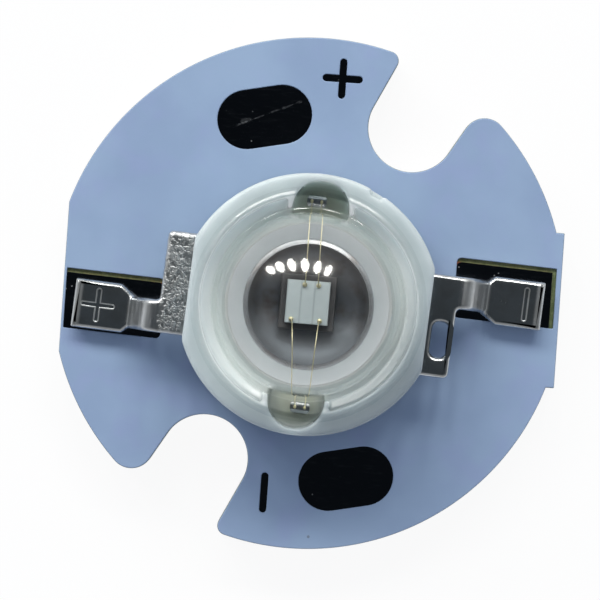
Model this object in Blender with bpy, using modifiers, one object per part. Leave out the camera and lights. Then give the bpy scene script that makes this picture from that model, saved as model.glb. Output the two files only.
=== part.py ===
"""A round aluminium-core lamp board with one dome-lens power emitter.

Every size is in millimetres, and the root empty scales them to metres. The board's underside lies at
z = 0 with the origin under the centre of its round outline, and X runs across it from lead to lead.
The emitter is drawn in its own frame, with z = 0 under its slug. Angles are in degrees.
"""

import math

import bmesh
import bpy
from mathutils import Matrix, Vector
from mathutils.geometry import interpolate_bezier

MILLIMETRE = 0.001
FIT = 0.01  # between faces that touch on the real board
SEAT_SWELL = 1.5 * FIT  # along the corner normals, which lean away from each face
WELD = 0.0001
TURN_STEPS = 40
ARC_STEP = 7.5
DOME_STEP = 9
EDGE_STEP = 30
CUP_STEPS = 5
FILLET_LIMIT = 0.45  # of the edges beside a corner

# Slug: a round foot, a stem and the cup in its top
SLUG_RADIUS = 2.8
SLUG_FOOT = 1.0
SLUG_HEIGHT = 2.45
STEM_RADIUS = 1.5
CUP_RIM = 0.14
CUP_SPREAD = 0.51
CUP_DEPTH = 0.6

# Lens: a dome on a flange, hollow underneath
DOME_RADIUS = 2.82
LENS_WALL = 0.47
FLANGE_LIP = 0.08
FLANGE_HEIGHT = 0.34

# Body: the moulded ring round the slug, with a recess for the lens and two pockets for the posts
GROOVE = 0.4
BODY_WALL = 0.7
BODY_FOOT = 0.25
BODY_RISE = 0.65
BODY_ROUND = 0.25
BODY_CHAMFER = 0.1
RECESS_ROUND = 0.1
FLAT_CUT = 0.32
POCKET_RADIUS = 0.86
POCKET_WALL = 0.2
POCKET_REACH = 0.27  # how far a pocket comes in under the hollow of the lens, at least
POCKET_DEPTH = 0.4
LAND_WALL = 0.16
LAND_DROP = 0.1
LAND_CLEARANCE = 0.03
GATE_WIDTH = 0.4
GATE_DEPTH = 0.15
GATE_HEIGHT = 0.9
GATE_ANGLE = 65.7

# Leads: one stamped and folded sheet each, the left one turned half round from the right one
LEAD_SPAN = 14.5
LEAD_THICKNESS = 0.4
LEAD_LIFT = 0.2
TIP_LIFT = 0.085
BEND_RADIUS = 0.3
BEND_ANGLE = 62.0
BEND_STEPS = 4
PLATE_LENGTH = 1.95
PLATE_BEYOND_BODY = 0.55
PLATE_SOUTH = 1.72
PLATE_NORTH = 1.46
PLATE_ARM_START = 0.3
PLATE_ROUND = 0.2
SLOT_WIDTH = 0.5
SLOT_LENGTH = 1.08
SLOT_EDGE = 0.16
SLOT_SOUTH = 1.09
NECK_WIDTH = 1.0
NECK_FILLET = 0.15
NECK_STUB = 0.07
TIP_WIDTH = 1.51
TIP_NORTH = 0.17
TIP_ROUND = 0.08
SHOULDER_SOUTH = 0.5
SHOULDER_NORTH = 0.2
ARM_WIDTH = 0.52
ARM_START = 12.0
ARM_TO_POST = 0.03
POST_WIDTH = 0.6
POST_SHIFT = 0.15
POST_INSET = 0.21
POST_DROP = 0.09
MARK_LENGTH = 1.05
MARK_WIDTH = 0.15
MARK_DEPTH = 0.05
PLUS_TO_END = 0.76
MINUS_TO_END = 0.55

# Die stack in the cup, and its wires
SUBMOUNT_TO_WALL = 0.058  # from its corners to the edge of the cup's floor
SUBMOUNT_THICKNESS = 0.15
ATTACH_INSET = 0.06
ATTACH_THICKNESS = 0.03
DIE_INSET = 0.11
DIE_THICKNESS = 0.15
DIE_TURN = 2.7
DIE_OFFSET = Vector((-0.02, 0.04))
BOND_PAD_RADIUS = 0.05
BOND_PAD_THICKNESS = 0.02
BOND_PAD_INSET = 0.08
SOUTH_BOND_PADS = (0.13, 0.73)  # from the die's west edge
NORTH_BOND_PADS = (0.36, 0.65)
WIRE_RADIUS = 0.0225
WIRE_LOOP = 1.0
WIRE_REACH = 0.9
WIRE_FALL = 0.7
WIRE_PAST_LEDGE = 0.1
WIRE_OVER_LEDGE = 0.05
WIRE_DROP = 0.09
WIRE_SAG = 0.033
WIRE_END_SPREAD = 0.15
WIRE_STEPS = 8
GEL_STEP = 0.04  # where the gel of a pocket joins the gel inside the lens

# Board layers, from the underside up
CORE_THICKNESS = 1.4
LAMINATE_THICKNESS = 0.1
COPPER_THICKNESS = 0.07
MASK_OVER_COPPER = 0.035
TIN_THICKNESS = 0.02
JOINT_THICKNESS = 0.1

# Board outline: round, with a flat, a break-off tab and two open notches for the screws
FLAT_DEPTH = 0.35
PAD_TO_FLAT = 0.09
TAB_SHORTFALL = 0.12
TAB_WIDTH = 4.86
TAB_ROUND = 0.04
NOTCH_ANGLE = 61.7
NOTCH_RADIUS = 1.375
NOTCH_DEPTH = 3.27
NOTCH_FLARE = 2.5
NOTCH_LIP_WIDE = 0.7
NOTCH_LIP_TIGHT = 0.3
MASK_INSET = 0.04

# Lead pads: the openings under the lead tips, and the bare slits along their edges
POSITIVE_PAD_LENGTH = 3.04
POSITIVE_PAD_BEYOND_TIP = 0.31
POSITIVE_PAD_SHIFT = 0.12
NEGATIVE_PAD_LENGTH = 3.13
NEGATIVE_PAD_BEYOND_TIP = 0.46
NEGATIVE_PAD_SHIFT = 0.285
PAD_WIDTH = 1.87
PAD_TILT = -2.7
PAD_INNER_ROUND = 0.16
PAD_OUTER_ROUND = 0.03
SLIT_WIDTH = 0.13
SLIT_UNDER_MASK = 0.1
TIN_INSET = 0.015
SOLDER_INSET = 0.15

# Wire pads and polarity marks, each placed by its distance from the rim and its direction
WIRE_PAD_LENGTH = 2.97
WIRE_PAD_WIDTH = 1.85
WIRE_PAD_TURN = 12.2
POSITIVE_WIRE_PAD_IN = 2.33
POSITIVE_WIRE_PAD_ANGLE = 107.8
NEGATIVE_WIRE_PAD_IN = 2.085
NEGATIVE_WIRE_PAD_ANGLE = 285.5
SIGN_LENGTH = 1.25
SIGN_WIDTH = 0.22
PLUS_IN = 1.21
PLUS_ANGLE = 84.8
MINUS_IN = 1.62
MINUS_ANGLE = 261.5

# Circuit areas
COPPER_MARGIN = 0.25
COPPER_FLAT_MARGIN = 0.07
COPPER_TO_NOTCH = 0.35
THERMAL_BEYOND_SLUG = 0.6
THERMAL_UNDER_MASK = 0.1
THERMAL_GAP = 0.3
JOINT_INSET = 0.05

# The emitter's seat on the board
EMITTER_X = 0.03
EMITTER_Y = -0.35
EMITTER_TURN = -3.5

# Sizes that follow from those above
BOARD_RADIUS = LEAD_SPAN / 2 + POSITIVE_PAD_BEYOND_TIP + PAD_TO_FLAT + FLAT_DEPTH
LAMINATE_BOTTOM = CORE_THICKNESS + FIT
COPPER_BOTTOM = LAMINATE_BOTTOM + LAMINATE_THICKNESS + FIT
COPPER_TOP = COPPER_BOTTOM + COPPER_THICKNESS
MASK_TOP = COPPER_TOP + MASK_OVER_COPPER
TIN_TOP = COPPER_TOP + FIT + TIN_THICKNESS
SLUG_BOTTOM = COPPER_TOP + FIT + JOINT_THICKNESS + FIT
THERMAL_RADIUS = SLUG_RADIUS + THERMAL_BEYOND_SLUG
CUP_RADIUS = STEM_RADIUS - CUP_RIM
CUP_FLOOR_RADIUS = CUP_RADIUS - CUP_SPREAD
CUP_FLOOR = SLUG_HEIGHT - CUP_DEPTH
FLANGE_RADIUS = DOME_RADIUS + FLANGE_LIP
FLANGE_BOTTOM = SLUG_HEIGHT + FIT
FLANGE_TOP = FLANGE_BOTTOM + FLANGE_HEIGHT
CAVITY_RADIUS = DOME_RADIUS - LENS_WALL
RECESS_RADIUS = FLANGE_RADIUS + GROOVE
BODY_RADIUS = RECESS_RADIUS + BODY_WALL
BODY_TOP = SLUG_HEIGHT + BODY_RISE
POCKET_OUT = BODY_RADIUS - POCKET_WALL - POCKET_RADIUS
POCKET_IN = min(POCKET_OUT, CAVITY_RADIUS - POCKET_REACH + POCKET_RADIUS)
POST_OUT = POCKET_OUT + POST_INSET
POST_TOP = SLUG_HEIGHT - POST_DROP
ARM_OUTER = POST_OUT - BEND_RADIUS - ARM_TO_POST
ARM_INNER = ARM_OUTER - ARM_WIDTH
PLATE_END = BODY_RADIUS + PLATE_BEYOND_BODY
LEAD_MIDDLE = SLUG_FOOT + LEAD_LIFT + LEAD_THICKNESS / 2
LEAD_TOP = LEAD_MIDDLE + LEAD_THICKNESS / 2
TIP_MIDDLE = TIP_LIFT + LEAD_THICKNESS / 2
NECK_SOUTH = PLATE_NORTH - NECK_WIDTH
TIP_Y = PLATE_NORTH + TIP_NORTH - TIP_WIDTH / 2
FOLD_START = PLATE_END + NECK_STUB
FOLD_TURN = math.radians(BEND_ANGLE)
FOLD_ARC = BEND_RADIUS * FOLD_TURN
FOLD_DROP = LEAD_MIDDLE - TIP_MIDDLE
FOLD_STRAIGHT = (FOLD_DROP - 2 * BEND_RADIUS * (1 - math.cos(FOLD_TURN))) / math.sin(FOLD_TURN)
FOLD_RUN = 2 * BEND_RADIUS * math.sin(FOLD_TURN) + FOLD_STRAIGHT * math.cos(FOLD_TURN)
FOLD_LENGTH = 2 * FOLD_ARC + FOLD_STRAIGHT
TIP_START = FOLD_START + FOLD_RUN
SUBMOUNT_SIDE = math.sqrt(2) * (CUP_FLOOR_RADIUS - SUBMOUNT_TO_WALL)
ATTACH_SIDE = SUBMOUNT_SIDE - 2 * ATTACH_INSET
DIE_SIDE = SUBMOUNT_SIDE - 2 * DIE_INSET
DIE_ATTACH_BOTTOM = CUP_FLOOR + FIT
SUBMOUNT_BOTTOM = DIE_ATTACH_BOTTOM + ATTACH_THICKNESS + FIT
DIE_BOTTOM = SUBMOUNT_BOTTOM + SUBMOUNT_THICKNESS + FIT
BOND_PAD_BOTTOM = DIE_BOTTOM + DIE_THICKNESS + FIT


def clear_scene():
    for obj in list(bpy.data.objects):
        bpy.data.objects.remove(obj)


def new_collection(name):
    collection = bpy.data.collections.new(name)
    bpy.context.scene.collection.children.link(collection)
    return collection


def new_empty(name, parent, location=(0, 0, 0), turn=0.0, scale=1.0):
    empty = bpy.data.objects.new(name, None)
    parts.objects.link(empty)
    empty.parent = parent
    empty.location = location
    empty.rotation_euler.z = math.radians(turn)
    empty.scale = (scale, scale, scale)
    return empty


def finish(name, colour, metallic, roughness, clear=0.0):
    material = bpy.data.materials.new(name)
    material.use_nodes = True
    shader = material.node_tree.nodes["Principled BSDF"]
    shader.inputs["Base Color"].default_value = (*colour, 1.0)
    shader.inputs["Metallic"].default_value = metallic
    shader.inputs["Roughness"].default_value = roughness
    shader.inputs["Transmission Weight"].default_value = clear
    return material


def place(name, data, parent, material=None, location=(0, 0, 0), turn=0.0):
    """A part with its material, or a hidden cutter where there is no material."""
    obj = bpy.data.objects.new(name, data)
    obj.parent = parent
    obj.location = location
    obj.rotation_euler.z = math.radians(turn)
    if material:
        if not data.materials:
            data.materials.append(material)
        parts.objects.link(obj)
    else:
        obj.hide_render = True
        obj.display_type = "WIRE"
        cutters.objects.link(obj)
    return obj


def mesh_from(name, shape, smooth=False):
    """A mesh of what was built in bmesh, welded and with its faces pointing out."""
    bmesh.ops.remove_doubles(shape, verts=shape.verts, dist=WELD)
    bmesh.ops.recalc_face_normals(shape, faces=shape.faces)
    mesh = bpy.data.meshes.new(name)
    shape.to_mesh(mesh)
    shape.free()
    if smooth:
        mesh.shade_smooth()
        mesh.set_sharp_from_angle(angle=math.radians(30))
    return mesh


def evaluated_shape(obj):
    """The object with its modifiers, or a curve's surface, as a new bmesh."""
    graph = bpy.context.evaluated_depsgraph_get()
    mesh = bpy.data.meshes.new_from_object(obj.evaluated_get(graph))
    shape = bmesh.new()
    shape.from_mesh(mesh)
    bpy.data.meshes.remove(mesh)
    return shape


def arc(centre, radius, start, end, step=ARC_STEP):
    """Points on a circle from one angle to another, with both ends."""
    count = max(2, round(abs(end - start) / step))
    angles = [math.radians(start + (end - start) * i / count) for i in range(count + 1)]
    return [centre + radius * Vector((math.cos(a), math.sin(a))) for a in angles]


def turned_by(points, degrees):
    rotation = Matrix.Rotation(math.radians(degrees), 2)
    return [rotation @ point for point in points]


def rounded(corners, steps=3):
    """The outline through corners given as (point, radius), a radius of 0 keeping its corner sharp."""
    points = []
    for i, (corner, radius) in enumerate(corners):
        if radius == 0:
            points.append(corner)
            continue
        before = corners[i - 1][0] - corner
        after = corners[(i + 1) % len(corners)][0] - corner
        half_turn = (math.pi - before.angle(after)) / 2
        longest = FILLET_LIMIT * min(before.length, after.length)
        reach = min(radius * math.tan(half_turn), longest)
        start = corner + before.normalized() * reach
        end = corner + after.normalized() * reach
        for k in range(steps + 1):
            share = k / steps
            points.append(start.lerp(corner, share).lerp(corner.lerp(end, share), share))
    return points


def sharp(points):
    return [(point, 0) for point in points]


def outline_shape(loops, thickness=0.0):
    """The flat area between closed loops, its middle at z = 0, as a sheet or a plate."""
    curve = bpy.data.curves.new("outline", "CURVE")
    curve.dimensions = "2D"
    curve.fill_mode = "BOTH"
    curve.extrude = thickness / 2
    for loop in loops:
        spline = curve.splines.new("POLY")
        spline.points.add(len(loop) - 1)
        for point, (x, y) in zip(spline.points, loop):
            point.co = (x, y, 0, 1)
        spline.use_cyclic_u = True
    drawn = bpy.data.objects.new("outline", curve)
    cutters.objects.link(drawn)
    shape = evaluated_shape(drawn)
    bpy.data.objects.remove(drawn)
    return shape


def plate(name, loops, bottom, top, parent, material=None):
    mesh = mesh_from(name, outline_shape(loops, top - bottom))
    return place(name, mesh, parent, material, (0, 0, (bottom + top) / 2))


def turned(name, profile, parent, material=None):
    """A body turned from a profile of (radius, height) that runs down its outer side."""
    mesh = bpy.data.meshes.new(name)
    count = len(profile)
    edges = [(i, i + 1) for i in range(count - 1)]
    if profile[0][0] > 0:
        edges.append((count - 1, 0))
    mesh.from_pydata([(radius, 0, height) for radius, height in profile], edges, [])
    obj = place(name, mesh, parent, material)
    screw = obj.modifiers.new("Turn", "SCREW")
    screw.steps = TURN_STEPS
    screw.render_steps = TURN_STEPS
    screw.use_merge_vertices = True
    screw.merge_threshold = WELD
    screw.use_smooth_shade = True
    return obj


def cylinder(name, radius, bottom, top, parent, material=None, centre=(0, 0), segments=24):
    shape = bmesh.new()
    bmesh.ops.create_cone(
        shape, cap_ends=True, segments=segments, radius1=radius, radius2=radius, depth=top - bottom
    )
    mesh = mesh_from(name, shape, smooth=True)
    return place(name, mesh, parent, material, (*centre, (bottom + top) / 2))


def box(name, size, location, parent, material=None, turn=0.0):
    shape = bmesh.new()
    bmesh.ops.create_cube(shape, size=1.0)
    bmesh.ops.scale(shape, verts=shape.verts, vec=size)
    return place(name, mesh_from(name, shape), parent, material, location, turn)


def seat(source):
    """A cutter in the shape of a part and larger all round by the fit."""
    mesh = mesh_from(source.name + "_seat", evaluated_shape(source))
    mesh.materials.clear()
    cutter = place(source.name + "_seat", mesh, source.parent, location=source.location)
    cutter.rotation_euler = source.rotation_euler
    swell = cutter.modifiers.new("Swell", "DISPLACE")
    swell.strength = SEAT_SWELL
    swell.mid_level = 0.0
    return cutter


def combine(obj, operation, *others):
    for other in others:
        boolean = obj.modifiers.new(f"{operation} {other.name}", "BOOLEAN")
        boolean.operation = operation
        boolean.solver = "EXACT"
        boolean.object = other


def on_board(x, y):
    """A point of the emitter's frame in the board's frame."""
    return turned_by([Vector((x, y))], EMITTER_TURN)[0] + Vector((EMITTER_X, EMITTER_Y))


def from_rim(inset, angle):
    return turned_by([Vector((BOARD_RADIUS - inset, 0))], angle)[0]


def notch_lip(rounding, inset):
    """The corner of a notch's upper flank and the rim: its angle at the rim, and its points."""
    radius = rounding - inset
    flare = math.radians(NOTCH_FLARE)
    flank = Vector((math.cos(flare), math.sin(flare)))
    across = Vector((-math.sin(flare), math.cos(flare)))
    foot = Vector((BOARD_RADIUS - NOTCH_DEPTH + NOTCH_RADIUS, 0)) + across * (NOTCH_RADIUS + rounding)
    along = foot.dot(flank)
    reach = BOARD_RADIUS - rounding
    middle = foot + flank * (math.sqrt(along**2 - foot.length_squared + reach**2) - along)
    rim_angle = math.degrees(math.atan2(middle.y, middle.x))
    return rim_angle, arc(middle, radius, NOTCH_FLARE - 90, rim_angle)


def notch(angle, inset):
    """The angles of a notch's wide and tight lip at the rim, and its points from the one to the other."""
    centre = Vector((BOARD_RADIUS - NOTCH_DEPTH + NOTCH_RADIUS, 0))
    wide_angle, wide = notch_lip(NOTCH_LIP_WIDE, inset)
    tight_angle, tight = notch_lip(NOTCH_LIP_TIGHT, inset)
    mirrored = [Vector((point.x, -point.y)) for point in wide[::-1]]
    bottom = arc(centre, NOTCH_RADIUS + inset, 270 - NOTCH_FLARE, 90 + NOTCH_FLARE)
    return wide_angle, tight_angle, turned_by([*mirrored, *bottom, *tight], angle)


def board_outline(inset=0.0):
    """The board's outline, moved inwards by the inset."""
    radius = BOARD_RADIUS - inset
    flat = BOARD_RADIUS - FLAT_DEPTH - inset
    tab_x = BOARD_RADIUS - TAB_SHORTFALL - inset
    tab_y = TAB_WIDTH / 2 - inset
    flat_half = math.degrees(math.acos(flat / radius))
    tab_half = math.degrees(math.asin(tab_y / radius))
    wide, tight, first_notch = notch(NOTCH_ANGLE, inset)
    _, _, second_notch = notch(NOTCH_ANGLE + 180, inset)

    def rim(start, end):
        return arc(Vector((0, 0)), radius, start, end)

    return rounded(
        [
            (Vector((tab_x, tab_y)), TAB_ROUND),
            *sharp(rim(tab_half, NOTCH_ANGLE - wide)[:-1]),
            *sharp(first_notch),
            *sharp(rim(NOTCH_ANGLE + tight, 180 - flat_half)[1:]),
            *sharp(rim(180 + flat_half, NOTCH_ANGLE + 180 - wide)[:-1]),
            *sharp(second_notch),
            *sharp(rim(NOTCH_ANGLE + 180 + tight, 360 - tab_half)[1:]),
            (Vector((tab_x, -tab_y)), TAB_ROUND),
        ]
    )


def copper_outline(side):
    """Half the board inside its margins, cut along the notches' axis: 1 is negative, -1 is positive."""
    radius = BOARD_RADIUS - COPPER_MARGIN
    flat = BOARD_RADIUS - FLAT_DEPTH - COPPER_FLAT_MARGIN
    wide, _ = notch_lip(NOTCH_LIP_WIDE, 0.0)
    tight = math.degrees(math.asin((NOTCH_RADIUS + COPPER_TO_NOTCH) / radius))
    origin = Vector((0, 0))
    if side > 0:
        return arc(origin, radius, NOTCH_ANGLE + 180 + tight, NOTCH_ANGLE + 360 - wide)
    flat_half = math.degrees(math.acos(flat / radius))
    return [
        *arc(origin, radius, NOTCH_ANGLE + tight, 180 - flat_half),
        *arc(origin, radius, 180 + flat_half, NOTCH_ANGLE + 180 - wide),
    ]


def pad_outline(side, inner=0.0, outer=0.0, south=0.0, north=0.0):
    """A lead pad's opening with its edges moved inwards: side 1 is negative, -1 is positive."""
    beyond = NEGATIVE_PAD_BEYOND_TIP if side > 0 else POSITIVE_PAD_BEYOND_TIP
    length = NEGATIVE_PAD_LENGTH if side > 0 else POSITIVE_PAD_LENGTH
    shift = NEGATIVE_PAD_SHIFT if side > 0 else POSITIVE_PAD_SHIFT
    end = LEAD_SPAN / 2 + beyond
    near = side * (end - length + inner)
    far = side * (end - outer)
    middle = on_board(side * (TIP_START + LEAD_SPAN / 2) / 2, side * TIP_Y)
    slope = math.tan(math.radians(PAD_TILT))

    def corner(x, across):
        return Vector((x, middle.y + shift + (x - middle.x) * slope + across))

    south_edge = south - PAD_WIDTH / 2
    north_edge = PAD_WIDTH / 2 - north
    return rounded(
        [
            (corner(near, south_edge), PAD_INNER_ROUND),
            (corner(far, south_edge), PAD_OUTER_ROUND),
            (corner(far, north_edge), PAD_OUTER_ROUND),
            (corner(near, north_edge), PAD_INNER_ROUND),
        ]
    )


def stadium(centre, length, width, turn, inset=0.0):
    radius = width / 2 - inset
    reach = Vector(((length - width) / 2, 0))
    points = arc(reach, radius, -90, 90) + arc(-reach, radius, 90, 270)
    return [centre + point for point in turned_by(points, turn)]


def wire_pad_outline(side, inset=0.0):
    if side > 0:
        centre = from_rim(NEGATIVE_WIRE_PAD_IN, NEGATIVE_WIRE_PAD_ANGLE)
    else:
        centre = from_rim(POSITIVE_WIRE_PAD_IN, POSITIVE_WIRE_PAD_ANGLE)
    return stadium(centre, WIRE_PAD_LENGTH, WIRE_PAD_WIDTH, WIRE_PAD_TURN, inset)


def plus_outline(inset=0.0):
    """A plus sign with round ends."""
    half = SIGN_WIDTH / 2 - inset
    arm = arc(Vector(((SIGN_LENGTH - SIGN_WIDTH) / 2, 0)), half, -90, 90) + [Vector((half, half))]
    points = [point for quarter in range(4) for point in turned_by(arm, 90 * quarter)]
    return [from_rim(PLUS_IN, PLUS_ANGLE) + point for point in points]


def minus_outline(inset=0.0):
    return stadium(from_rim(MINUS_IN, MINUS_ANGLE), SIGN_LENGTH, SIGN_WIDTH, 90, inset)


def circle(centre, radius):
    return arc(centre, radius, 0, 360)[:-1]


def make_board(root):
    """The core and the laminate on it."""
    aluminium = finish("aluminium", (0.62, 0.63, 0.65), 1.0, 0.35)
    laminate = finish("laminate", (0.08, 0.09, 0.04), 0.0, 0.6)
    plate("base_plate", [board_outline()], 0, CORE_THICKNESS, root, aluminium)
    plate(
        "dielectric_layer",
        [board_outline()],
        LAMINATE_BOTTOM,
        LAMINATE_BOTTOM + LAMINATE_THICKNESS,
        root,
        laminate,
    )


def make_slit(name, side, root, **edges):
    """A bare strip of laminate by a pad, where the copper is cut away."""
    outline = pad_outline(side, **edges)
    return plate(name, [outline], COPPER_BOTTOM - FIT, COPPER_TOP + FIT, root)


def make_copper(root):
    """The two halves of the circuit and the round area under the slug."""
    copper = finish("copper", (0.80, 0.42, 0.26), 1.0, 0.3)
    centre = on_board(0, 0)
    thermal = cylinder(
        "copper_thermal", THERMAL_RADIUS, COPPER_BOTTOM, COPPER_TOP, root, copper, centre, TURN_STEPS
    )
    ring = cylinder(
        "thermal_gap",
        THERMAL_RADIUS + THERMAL_GAP,
        COPPER_BOTTOM - FIT,
        COPPER_TOP + FIT,
        root,
        centre=centre,
        segments=TURN_STEPS,
    )
    under = -SLIT_UNDER_MASK
    along = {"inner": under, "outer": under, "south": PAD_WIDTH - SLIT_WIDTH, "north": under}
    across = {"inner": NEGATIVE_PAD_LENGTH - SLIT_WIDTH, "outer": under, "south": under, "north": under}
    halves = []
    for side, name in ((1, "negative"), (-1, "positive")):
        half = plate("copper_" + name, [copper_outline(side)], COPPER_BOTTOM, COPPER_TOP, root, copper)
        combine(half, "DIFFERENCE", ring, make_slit("north_slit_" + name, side, root, **along))
        if side > 0:
            combine(half, "DIFFERENCE", make_slit("end_slit_" + name, side, root, **across))
        halves.append(half)
    return [thermal, *halves]


def make_mask(root, copper):
    """The lacquer, with its openings, lying on the laminate and over the copper."""
    lacquer = finish("mask_lacquer", (0.30, 0.40, 0.61), 0.0, 0.35)
    loops = [
        board_outline(MASK_INSET),
        circle(on_board(0, 0), THERMAL_RADIUS - THERMAL_UNDER_MASK),
        pad_outline(1),
        pad_outline(-1),
        wire_pad_outline(1),
        wire_pad_outline(-1),
        plus_outline(),
        minus_outline(),
    ]
    mask = plate("solder_mask", loops, COPPER_BOTTOM, MASK_TOP, root, lacquer)
    combine(mask, "DIFFERENCE", *[seat(area) for area in copper])


def make_tin(root):
    """The tin on the copper in each opening."""
    tin = finish("tin", (0.05, 0.06, 0.07), 1.0, 0.2)
    slit = SLIT_WIDTH + TIN_INSET
    negative = pad_outline(1, inner=TIN_INSET, outer=slit, south=TIN_INSET, north=slit)
    positive = pad_outline(-1, inner=TIN_INSET, outer=TIN_INSET, south=TIN_INSET, north=slit)
    outlines = {
        "tin_lead_negative": negative,
        "tin_lead_positive": positive,
        "tin_wire_negative": wire_pad_outline(1, TIN_INSET),
        "tin_wire_positive": wire_pad_outline(-1, TIN_INSET),
        "tin_plus": plus_outline(TIN_INSET),
        "tin_minus": minus_outline(TIN_INSET),
    }
    for name, outline in outlines.items():
        plate(name, [outline], COPPER_TOP + FIT, TIN_TOP, root, tin)


def cup_wall(shrink=0.0):
    """The cup's curved wall, from the edge of its floor up to its rim."""
    points = []
    for step in range(CUP_STEPS + 1):
        angle = math.radians(90 * step / CUP_STEPS)
        radius = CUP_RADIUS - CUP_SPREAD * (1 - math.sin(angle))
        points.append((radius - shrink, CUP_FLOOR + CUP_DEPTH * (1 - math.cos(angle)) + shrink))
    return points


def make_slug(root, emitter):
    """The slug, and the joint that holds it to the board."""
    silver = finish("slug_silver", (0.80, 0.80, 0.78), 1.0, 0.15)
    solder = finish("joint_solder", (0.55, 0.56, 0.57), 1.0, 0.4)
    cylinder(
        "thermal_joint",
        SLUG_RADIUS - JOINT_INSET,
        COPPER_TOP + FIT,
        SLUG_BOTTOM - FIT,
        root,
        solder,
        on_board(0, 0),
        TURN_STEPS,
    )
    profile = [
        (0, CUP_FLOOR),
        *cup_wall(),
        (STEM_RADIUS, SLUG_HEIGHT),
        (STEM_RADIUS, SLUG_FOOT),
        (SLUG_RADIUS, SLUG_FOOT),
        (SLUG_RADIUS, 0),
        (0, 0),
    ]
    turned("heat_slug", profile, emitter, silver)


def dome_arc(radius, base):
    """A quarter circle from the top of a dome down to its foot."""
    return [tuple(point) for point in arc(Vector((0, base)), radius, 90, 0, DOME_STEP)]


def on_axis(points):
    """The same points with the first one exactly on the axis."""
    return [(0, points[0][1]), *points[1:]]


def make_lens(emitter):
    clear = finish("clear_lens", (0.95, 0.96, 0.97), 0.0, 0.02, clear=1.0)
    outer = on_axis(dome_arc(DOME_RADIUS, FLANGE_TOP))
    inner = on_axis(dome_arc(CAVITY_RADIUS, FLANGE_BOTTOM))
    flange = [(FLANGE_RADIUS, FLANGE_TOP), (FLANGE_RADIUS, FLANGE_BOTTOM)]
    turned("lens", outer + flange + inner[::-1], emitter, clear)


def lead_blank():
    """The outline of the flat sheet that the right lead is folded from, and the slot in it."""
    post_west = POST_SHIFT - POST_WIDTH / 2
    post_east = POST_SHIFT + POST_WIDTH / 2
    post_end = -(ARM_OUTER + ARM_TO_POST + BEND_RADIUS * math.pi / 2 + POST_TOP - LEAD_MIDDLE - BEND_RADIUS)
    arm_end = -90 + math.degrees(math.asin(post_west / ARM_INNER))
    arm_back = -90 + math.degrees(math.asin(post_east / ARM_OUTER))
    arm_foot = -math.degrees(math.asin(PLATE_SOUTH / ARM_OUTER))
    plate_start = PLATE_END - PLATE_LENGTH
    stretch = FOLD_LENGTH - FOLD_RUN
    tip_start = TIP_START + stretch
    tip_end = LEAD_SPAN / 2 + stretch
    tip_south = TIP_Y - TIP_WIDTH / 2
    tip_north = TIP_Y + TIP_WIDTH / 2
    origin = Vector((0, 0))
    corners = [
        *sharp([Vector((plate_start, PLATE_NORTH)), Vector((plate_start, -PLATE_ARM_START))]),
        *sharp(arc(origin, ARM_INNER, -ARM_START, arm_end)),
        *sharp([Vector((post_west, post_end)), Vector((post_east, post_end))]),
        *sharp(arc(origin, ARM_OUTER, arm_back, arm_foot)),
        (Vector((PLATE_END, -PLATE_SOUTH)), PLATE_ROUND),
        (Vector((PLATE_END, NECK_SOUTH)), NECK_FILLET),
        (Vector((tip_start - SHOULDER_SOUTH / 2, NECK_SOUTH)), NECK_FILLET),
        (Vector((tip_start + SHOULDER_SOUTH / 2, tip_south)), NECK_FILLET),
        (Vector((tip_end, tip_south)), TIP_ROUND),
        (Vector((tip_end, tip_north)), TIP_ROUND),
        (Vector((tip_start + SHOULDER_NORTH / 2, tip_north)), TIP_ROUND),
        (Vector((tip_start - SHOULDER_NORTH / 2, PLATE_NORTH)), TIP_ROUND),
    ]
    slot_x = PLATE_END - SLOT_EDGE - SLOT_WIDTH / 2
    slot_centre = Vector((slot_x, SLOT_LENGTH / 2 - SLOT_SOUTH))
    slot_corners = [
        (slot_centre + Vector((SLOT_WIDTH / 2 * east, SLOT_LENGTH / 2 * north)), SLOT_WIDTH / 4)
        for east, north in ((-1, -1), (1, -1), (1, 1), (-1, 1))
    ]
    return [rounded(corners), rounded(slot_corners)]


def folded_down(x):
    """Where a point of the flat sheet comes to lie past the fold: along X, and below the strip."""
    past = x - FOLD_START
    if past <= FOLD_ARC:
        angle = past / BEND_RADIUS
        return FOLD_START + BEND_RADIUS * math.sin(angle), BEND_RADIUS * (1 - math.cos(angle))
    if past <= FOLD_ARC + FOLD_STRAIGHT:
        straight = past - FOLD_ARC
        run = BEND_RADIUS * math.sin(FOLD_TURN) + straight * math.cos(FOLD_TURN)
        drop = BEND_RADIUS * (1 - math.cos(FOLD_TURN)) + straight * math.sin(FOLD_TURN)
        return FOLD_START + run, drop
    left = max(FOLD_LENGTH - past, 0)
    angle = left / BEND_RADIUS
    rest = max(past - FOLD_LENGTH, 0)
    run = FOLD_RUN - BEND_RADIUS * math.sin(angle) + rest
    return FOLD_START + run, FOLD_DROP - BEND_RADIUS * (1 - math.cos(angle))


def folded_up(y):
    """Where a point of the flat tab comes to lie: along Y, and above the strip."""
    start = -(ARM_OUTER + ARM_TO_POST)
    past = start - y
    quarter = BEND_RADIUS * math.pi / 2
    if past <= quarter:
        angle = past / BEND_RADIUS
        return start - BEND_RADIUS * math.sin(angle), BEND_RADIUS * (1 - math.cos(angle))
    return start - BEND_RADIUS, BEND_RADIUS + past - quarter


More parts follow.
